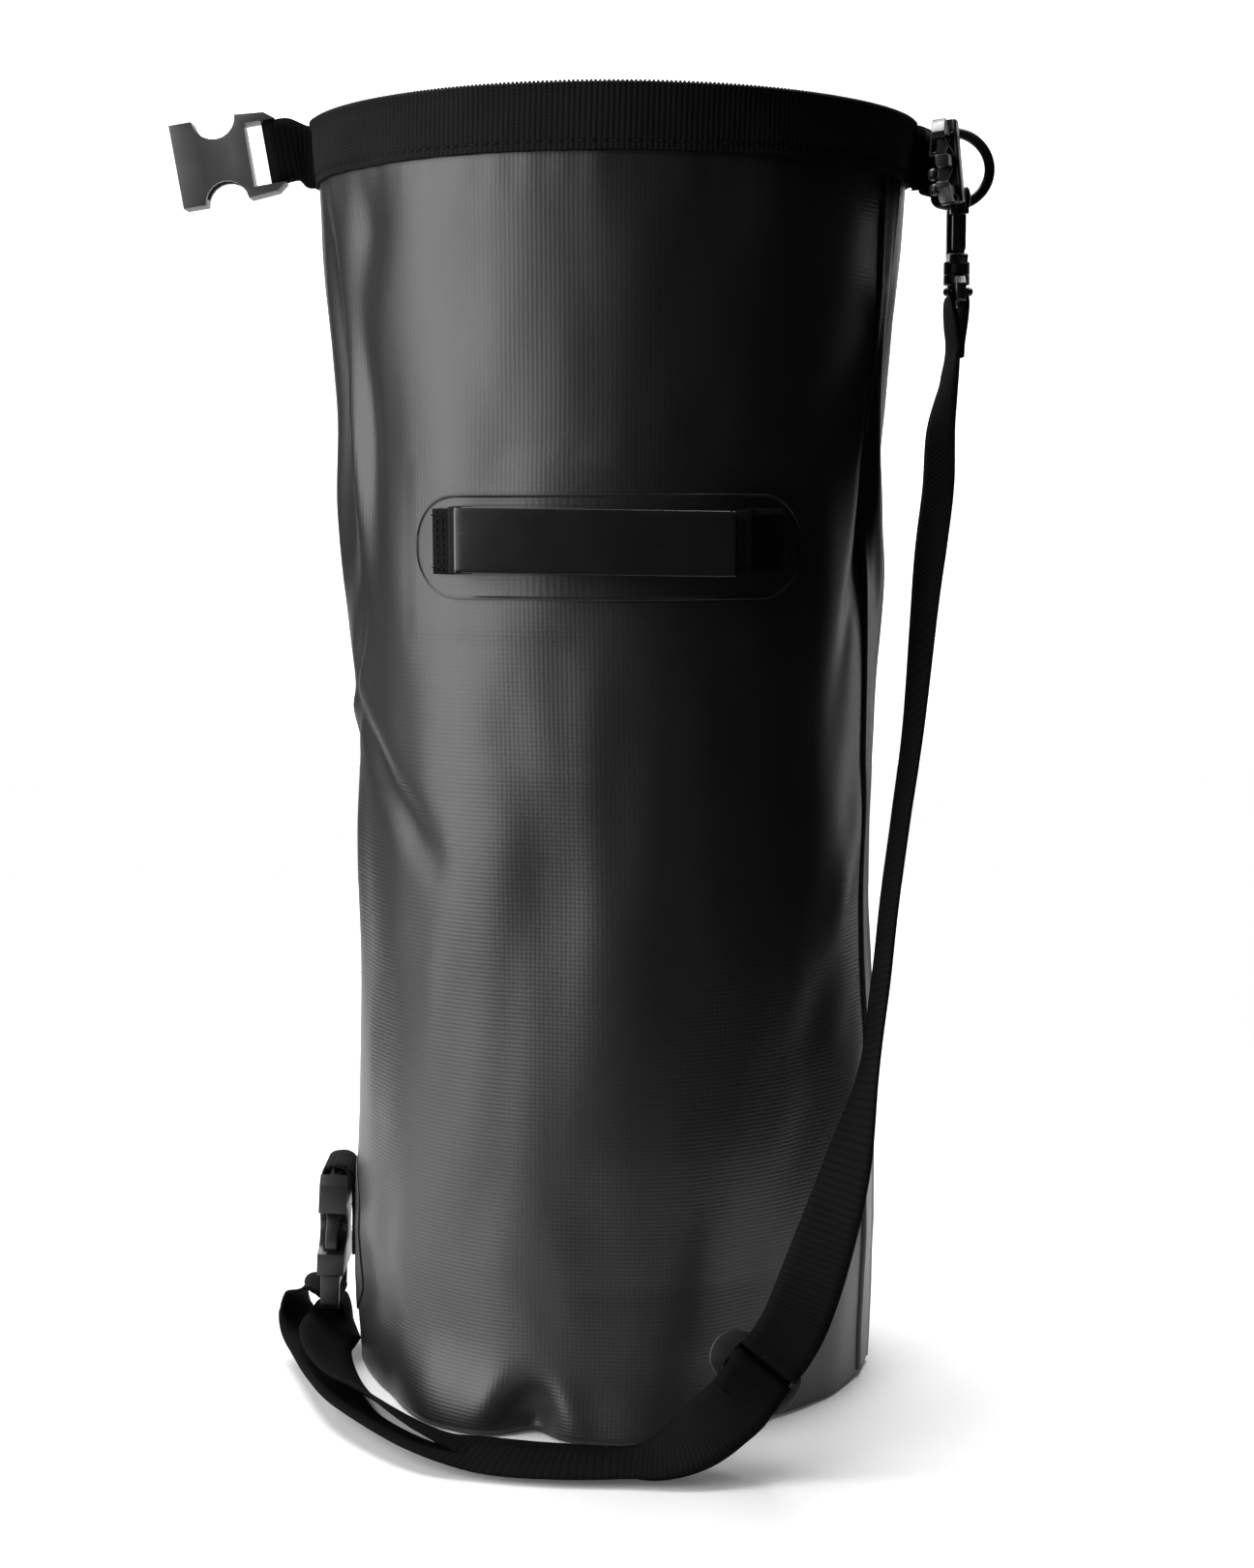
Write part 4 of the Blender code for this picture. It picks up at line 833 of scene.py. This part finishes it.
# ------------------------------------------------------------------ rim
def rim():
    """Binding of ribbed webbing with a picot edge, and the hem that holds the stiffener."""
    quarter = HALF_GIRTH / 2
    stitch_pitch, stitch_height = 0.0042, BAG_HEIGHT - WEB + 0.0033
    picot_pitch, picot_height = 0.00165, BAG_HEIGHT - 0.0001
    halves = (("front", 0.0, "rim_webbing_front"), ("back", HALF_GIRTH, "rim_webbing_back"))
    for name, middle, node in halves:
        def place(u, v, middle=middle):
            girth = middle + (u - 0.5) * 2 * (quarter - 0.0012)
            height = BAG_HEIGHT - WEB + v * WEB
            roll = 0.0006 * math.exp(-((v - 0.98) / 0.06) ** 2)
            dip = -0.0004 * math.exp(-((v - 0.13) / 0.035) ** 2)
            dip -= 0.0002 * math.exp(-((v - 0.83) / 0.03) ** 2)
            wave = 0.0003 * noise.noise(Vector((girth * 60.0, v * 3.0, middle)))
            height += 0.0004 * noise.noise(Vector((girth * 22.0, 9.0, 0.0)))
            return SKIN.point(girth, height, 0.0018 + roll + dip + wave)

        bm = laid(230, 30, place, (2 * quarter, WEB))
        piece = finished("rim_" + name + "_band", bm, RIM_WEB, "bag", "webbing", (node,))
        thicken(piece, 0.0013, -1.0)

        spots = []
        count = int(2 * quarter / stitch_pitch)
        for k in range(count):
            girth = middle + (k + 0.5 - count / 2) * stitch_pitch
            here = SKIN.point(girth, stitch_height, 0.0017)
            ahead = SKIN.point(girth + 0.001, stitch_height, 0.0017) - here
            spots.append((here, ahead))
        stitches("rim_" + name + "_stitching", spots, "bag")

        bm = bmesh.new()
        for k in range(int(2 * quarter / picot_pitch)):
            girth = middle + (k + 0.5) * picot_pitch - quarter + 0.001
            here = SKIN.point(girth, picot_height, 0.0011)
            ahead = (SKIN.point(girth + 0.001, picot_height, 0.0011) - here).normalized()
            axes = Matrix((ahead, Vector((-ahead.y, ahead.x, 0)), Vector((0, 0, 1))))
            turn = axes.transposed().to_4x4()
            ellipsoid(bm, Matrix.Translation(here) @ turn, (0.00065, 0.0010, 0.0010))
        finished("rim_" + name + "_picots", bm, THREAD, "bag", "webbing")

    def hem(u, v):
        girth = HALF_GIRTH + (u - 0.5) * 0.31
        height = BAG_HEIGHT - 0.024 + v * 0.0225
        swell = -0.0030 + 0.0022 * abs(2 * v - 1) ** 6
        return SKIN.point(girth, height, swell)

    bm = laid(80, 12, hem, (0.31, 0.0225))
    piece = finished("rim_stiffener_hem", bm, CLOTH, "bag", "coated_cloth", ("rim_stiffener",))
    thicken(piece, 0.0006, 1.0)


def webbing_loop(name, node, bar, bar_across, anchor, radius=FOLD):
    """Webbing folded round a bar, with its two ends sewn flat under the rim binding."""
    bar_across = Vector(bar_across).normalized()
    leg = Vector(anchor) - bar
    back = (leg - bar_across * leg.dot(bar_across)).normalized()
    normal = back.cross(bar_across).normalized()
    gap = (WEB_THICK + 0.0003) / 2
    turn = [(bar + normal * radius * math.cos(math.radians(a)) - back * radius * math.sin(math.radians(a)),
             bar_across) for a in range(0, 181, 30)]
    near, upright = bar + back * leg.length * 0.55, Vector((0, 0, 1))
    spread = normal * (gap + radius) / 2
    root = Vector((anchor[0] * 0.962, anchor[1], anchor[2]))
    route = [(root + normal * gap, upright), (Vector(anchor) + normal * gap, upright),
             (near + spread, bar_across), *turn, (near - spread, bar_across),
             (Vector(anchor) - normal * gap, upright), (root - normal * gap, upright)]
    return tape(name, route, 100, "bag", STRAP_WEB, (node,), square=False)


def rim_ends():
    """Webbing loops at both ends of the rim, with their box stitching."""
    droop = math.radians(9.5)
    reach = 0.1235 + 0.0015 + 0.0018
    webbing_loop("left_rim_loop_webbing", "left_rim_loop", Vector((-0.1395, 0, 0.5103)),
                 (-math.sin(droop), 0, math.cos(droop)), (-reach, 0, RIM_MID))
    webbing_loop("right_rim_loop_webbing", "right_rim_loop", RING_BAR,
                 (math.sin(RING_TILT), 0, math.cos(RING_TILT)), (reach, 0, RIM_MID),
                 0.0020 + 0.0006 + 0.00075)
    direction = Vector((-0.22, -0.97, -0.10)).normalized()
    up = Vector((-0.10, 0, 0.99))
    up = (up - direction * up.dot(direction)).normalized()
    webbing_loop("plug_loop_webbing", "plug_loop", CLOSURE_PLUG_BAR, up,
                 (reach + 0.0015, -0.0066, RIM_MID - 0.002))
    spots = []
    for side in (-1, 1):
        for offset in (0.0008, 0.0034):
            for k in range(8):
                z = RIM_MID - 0.0105 + k * 0.003
                spots.append((Vector((side * (0.1228 - offset), -0.0030 - offset * 1.2, z)), (0, 0, 1)))
    stitches("rim_end_stitching", spots, "bag")


# ------------------------------------------------------------------ carry handle
def handle():
    """Welded stadium patch, sewn webbing ends and the sleeved grip."""
    def stadium(u, v, length, tall, middle, out):
        reach = -math.cos(math.pi * u) * length / 2 * 0.9995
        straight = length / 2 - tall / 2
        past = max(0.0, abs(reach) - straight)
        half = math.sqrt(max(1e-9, (tall / 2) ** 2 - past ** 2))
        return SKIN.point(reach, middle + half * (2 * v - 1), out)

    def patch(u, v):
        lip = 0.0007 if min(v, 1 - v) < 0.03 or min(u, 1 - u) < 0.039 else 0.0
        return stadium(u, v, PATCH_LENGTH, PATCH_TALL, PATCH_MID + 0.0005, 0.0009 + lip)

    def backing(u, v):
        return stadium(u, v, BACKING_LENGTH, BACKING_TALL, PATCH_MID, -0.0016)

    bm = laid(120, 64, patch, (PATCH_LENGTH, PATCH_TALL))
    piece = finished("handle_patch_cloth", bm, CLOTH, "bag", "coated_cloth", ("handle_patch",))
    thicken(piece, PATCH_THICK, -1.0)

    bm = laid(60, 12, backing, (BACKING_LENGTH, BACKING_TALL))
    piece = finished("handle_backing_cloth", bm, CLOTH, "bag", "coated_cloth", ("handle_backing_patch",))
    thicken(piece, PATCH_THICK, 1.0)

    left, right = -0.0583, 0.0474

    def grip_point(s, out, z):
        share = (s - left) / (right - left)
        y = -0.1214 + 0.0056 * (2 * share - 1) ** 2
        return Vector((s - 0.0008, y - out, HANDLE_MID + z + 0.0016 * (0.5 - share)))

    spots = []
    for side, outer, stop in ((-1, 0.0708, 0.0583), (1, 0.0698, 0.0474)):
        label = "left" if side < 0 else "right"
        inner = min(0.0615, stop + 0.0065)
        profile = [(outer - (outer - inner - 0.0015) * k / 4, 0.0022) for k in range(5)]
        profile += [(inner, 0.0030)]
        route = []
        for girth, out in profile:
            low = SKIN.point(side * girth, HANDLE_MID - WEB / 2, out)
            high = SKIN.point(side * girth, HANDLE_MID + WEB / 2, out)
            route.append(((low + high) / 2, high - low))
        foot, top = route[-1][0], grip_point(side * (stop - 0.001), 0.0, 0.0)
        route.append((foot.lerp(top, 0.5) + Vector((side * 0.0018, 0, 0)), Vector((0, 0, 1))))
        route += [(grip_point(side * (stop - k), 0.0, 0.0), Vector((0, 0, 1)))
                  for k in (0.001, 0.004, 0.007)]
        piece, _ = tape("handle_" + label + "_tab", route, 90, None, RIM_WEB, ("handle_end_" + label,))
        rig.blend(piece, "bag", "handle", start=foot, end=top)
        for girth in (outer - 0.0025, outer - 0.0050, inner + 0.0015):
            for k in range(8):
                z = HANDLE_MID - 0.0105 + 0.003 * k
                spots.append((SKIN.point(side * girth, z, 0.0031), (0, 0, 1)))
        for z in (-0.0100, 0.0100):
            for k in range(3):
                here = SKIN.point(side * (inner + 0.003 + 0.003 * k), HANDLE_MID + z, 0.0031)
                ahead = SKIN.point(side * (inner + 0.0035 + 0.003 * k), HANDLE_MID + z, 0.0031) - here
                spots.append((here, ahead))
    stitches("handle_tab_stitching", spots, "bag", length=0.0024)

    def sleeve(u, v):
        turn = math.tau * v
        tall, thick, power = WEB / 2 - 0.0002, 0.0018, 0.36
        z = tall * math.copysign(abs(math.sin(turn)) ** power, math.sin(turn))
        out = thick * math.copysign(abs(math.cos(turn)) ** power, math.cos(turn))
        s = left + (right - left) * u
        ends = 1.0 - 0.06 * (math.exp(-(u / 0.012) ** 2) + math.exp(-((1 - u) / 0.012) ** 2))
        dent = 0.0003 * noise.noise(Vector((s * 55.0, z * 90.0, 2.0)))
        return grip_point(s, out * ends + dent, z * (1.0 - (1 - ends) * 0.25))

    bm = laid(120, 64, sleeve, (right - left, 0.062), weld=True)
    bmesh.ops.recalc_face_normals(bm, faces=bm.faces)
    grip = finished("handle_grip_sleeve", bm, GRIP, "handle", "rubber_grip", ("handle_sleeve",))
    thicken(grip, 0.0007, -1.0)

    route = []
    for k in range(16):
        s = left + 0.0006 + (right - left - 0.0012) * k / 15
        route.append((grip_point(s, 0.0, 0.0), (0, 0, 1)))
    tape("handle_inner_webbing", route, 60, "handle", RIM_WEB, ("handle_webbing",), width=0.0226)


# ------------------------------------------------------------------ lower anchor
def lower_anchor():
    """The welded patch low on the left side and the loop that holds the lower buckle."""
    def patch(u, v):
        reach = -math.cos(math.pi * u) * 0.030 * 0.999
        past = max(0.0, abs(reach) - 0.010)
        half = 0.0335 - 0.020 + math.sqrt(max(1e-9, 0.020 ** 2 - past ** 2))
        return SKIN.point(-HALF_GIRTH / 2 + reach, 0.0537 + half * (2 * v - 1), 0.0009)

    bm = laid(48, 30, patch, (0.060, 0.067))
    piece = finished("lower_patch_cloth", bm, CLOTH, "bag", "coated_cloth", ("lower_anchor_patch",))
    thicken(piece, PATCH_THICK, -1.0)
    leg = -(BAG_RADIUS + 0.0003 + 0.0008 + 0.0003 + 0.00075)
    bar = Vector((-0.1204, 0.0, 0.0775))
    arch = [(leg - 0.0002, 0.0440), (leg - 0.0002, 0.0520), (leg, 0.0600), (leg, 0.0700),
            (leg - 0.0004, 0.0765), (leg - 0.0024, 0.0812), (leg - 0.0062, 0.0830),
            (bar.x - 0.0030, 0.0822), (bar.x - 0.0046, 0.0798)]
    curl = [(bar.x + FOLD * math.cos(math.radians(a)), bar.z + FOLD * math.sin(math.radians(a)))
            for a in (185, 225, 270, 315, 360, 405)]
    tape("lower_loop_webbing", [((x, 0.0, z), (0, 1, 0)) for x, z in arch + curl], 120, "bag", RIM_WEB,
         ("lower_loop",))
    spots = []
    for z in (0.0460, 0.0560, 0.0660):
        for k in range(8):
            spots.append((Vector((leg - 0.0009, -0.0105 + 0.003 * k, z)), (0, 1, 0)))
    stitches("lower_loop_stitching", spots, "bag")


# ------------------------------------------------------------------ mouldings and metal
def hardware():
    """The buckles, the snap hook, the adjuster and the ring."""
    # The closure socket takes the lighter copy of the plastic: the sheen on its face is painted into the colour.
    moulding("closure_socket", "closure_socket", bevel=0.0007, material=SHEEN_PAINTED_PLASTIC)
    moulding("lower_socket", "lower_buckle", bevel=0.0009)
    for node, body in (("closure_plug", "closure_plug"),
                       ("closure_plug_arm_upper", "closure_plug_arm_upper"),
                       ("closure_plug_arm_lower", "closure_plug_arm_lower"),
                       ("snap_hook", "snap_hook"), ("hook_gate", "hook_gate"), ("swivel_eye", "swivel_eye"),
                       ("lower_plug", "lower_buckle"),
                       ("lower_plug_arm_front", "lower_plug_arm_front"),
                       ("lower_plug_arm_rear", "lower_plug_arm_rear"), ("strap_adjuster", "bag")):
        moulding(node, body)

    adjuster = bpy.data.objects["strap_adjuster_moulding"].data
    across = ADJUSTER_ACROSS.normalized()
    for vert in adjuster.vertices:
        past = (vert.co - ADJUSTER_MID).dot(across) - 0.0100
        if past > 0:
            vert.co -= across * past * 0.45

    forward = Vector((-0.2201, -0.9703, -0.1000))
    upward = Vector((-0.1179, -0.0753, 0.9902))
    leftward = forward.cross(upward)
    plug_frame = Matrix((forward, upward, leftward)).transposed().to_4x4()
    plug_frame.translation = CLOSURE_PLUG_BAR

    def blocks(name, parts, body):
        """Rounded bars and balls: (centre, half sizes, turn about the first axis, round)."""
        bm = bmesh.new()
        for centre, half, turn, ball in parts:
            place = (plug_frame @ Matrix.Translation(centre)
                     @ Matrix.Rotation(math.radians(turn), 4, "X"))
            if ball:
                ellipsoid(bm, place, half, 20, 14)
            else:
                made = bmesh.ops.create_cube(bm, size=2.0, matrix=place @ Matrix.Diagonal((*half, 1.0)))
                edges = list({e for v in made["verts"] for e in v.link_edges})
                bmesh.ops.bevel(bm, geom=edges, offset=min(half) * 0.6, segments=3, profile=0.5,
                                affect="EDGES", clamp_overlap=True, material=-1)
        piece = finished(name, bm, PLASTIC, body, "buckle_plastic")
        piece.data.set_sharp_from_angle(angle=math.radians(50))
        return piece

    blocks("closure_plug_ribs", [
        ((0.0100, 0.0, -0.0046), (0.0062, 0.0162, 0.0008), 0, False),
        ((0.0150, 0.0050, -0.0026), (0.0012, 0.0065, 0.0005), 24, False),
        ((0.0150, 0.0044, -0.0008), (0.0012, 0.0055, 0.0005), -22, False),
        ((0.0150, -0.0040, -0.0022), (0.0012, 0.0052, 0.0005), -30, False),
        ((0.0150, -0.0004, 0.0012), (0.0012, 0.0005, 0.0030), 0, False),
        ((0.0150, 0.0105, -0.0014), (0.0012, 0.0005, 0.0032), 8, False),
        ((0.0150, -0.0100, -0.0014), (0.0012, 0.0005, 0.0030), -6, False),
        ((0.0330, -0.0052, 0.0040), (0.0024, 0.0024, 0.0022), 0, True),
        ((0.0370, -0.0112, 0.0034), (0.0026, 0.0024, 0.0024), 0, True),
        ((0.0150, 0.0086, 0.0050), (0.0012, 0.0046, 0.0007), -10, False),
        ((0.0150, 0.0036, 0.0050), (0.0012, 0.0007, 0.0016), 0, False),
        ((0.0180, -0.0132, 0.0010), (0.0020, 0.0030, 0.0012), 28, True),
        ((0.0180, -0.0140, -0.0026), (0.0020, 0.0028, 0.0011), 20, True),
    ], "closure_plug")

    bm = bmesh.new()
    for centre, half in (((0.1456, -0.0070, 0.4908), (0.0018, 0.0015, 0.0048)),
                         ((0.1418, -0.0066, 0.4892), (0.0013, 0.0013, 0.0036))):
        ellipsoid(bm, Matrix.Translation(centre), half, 20, 14)
    finished("snap_hook_ears", bm, PLASTIC, "snap_hook", "buckle_plastic")
    bm = bmesh.new()
    for side in (-1, 1):
        place = Matrix.Translation((0.1430 + side * 0.0044, -0.0050, 0.4530))
        ellipsoid(bm, place, (0.0019, 0.0030, 0.0019), 16, 12)
    finished("swivel_eye_lugs", bm, PLASTIC, "swivel_eye", "buckle_plastic")

    corner, wire, half, deep = 0.0026, 0.0022, 0.0148, 0.0196
    rest = deep - corner - 0.001
    points = [(corner + 0.001 + rest * math.cos(t), half * math.sin(t))
              for t in (math.pi / 2 - math.pi * k / 40 for k in range(41))]
    top = [(corner + corner * math.cos(t), half - corner + corner * math.sin(t))
           for t in (math.pi - math.pi / 2 * k / 8 for k in range(9))]
    line = top + points + [(x, -y) for x, y in reversed(top)]
    curve = bpy.data.curves.new("ring_line", "CURVE")
    curve.dimensions = "3D"
    curve.bevel_depth = wire
    curve.bevel_resolution = 6
    spline = curve.splines.new("POLY")
    spline.points.add(len(line) - 1)
    out = Vector((math.cos(RING_TILT), 0, -math.sin(RING_TILT)))
    up = Vector((math.sin(RING_TILT), 0, math.cos(RING_TILT)))
    for point, (x, y) in zip(spline.points, line):
        point.co = (*(RING_BAR + out * x + up * y), 1.0)
    spline.use_cyclic_u = True
    maker = bpy.data.objects.new("ring_line", curve)
    bpy.context.scene.collection.objects.link(maker)
    bm = bmesh.new()
    bm.from_mesh(maker.to_mesh())
    bpy.data.objects.remove(maker)
    bmesh.ops.remove_doubles(bm, verts=bm.verts, dist=1e-6)
    bmesh.ops.recalc_face_normals(bm, faces=bm.faces)
    finished("d_ring_wire", bm, STEEL, "d_ring", "coated_metal", ("d_ring",))


studio()
strap()
bag_cloth()
rim()
rim_ends()
handle()
lower_anchor()
hardware()

low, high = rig.bounds()
with open("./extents.json", "w") as sizes:
    json.dump({"cad": [list(cad_low), list(cad_high)], "visual": [list(low), list(high)]}, sizes)
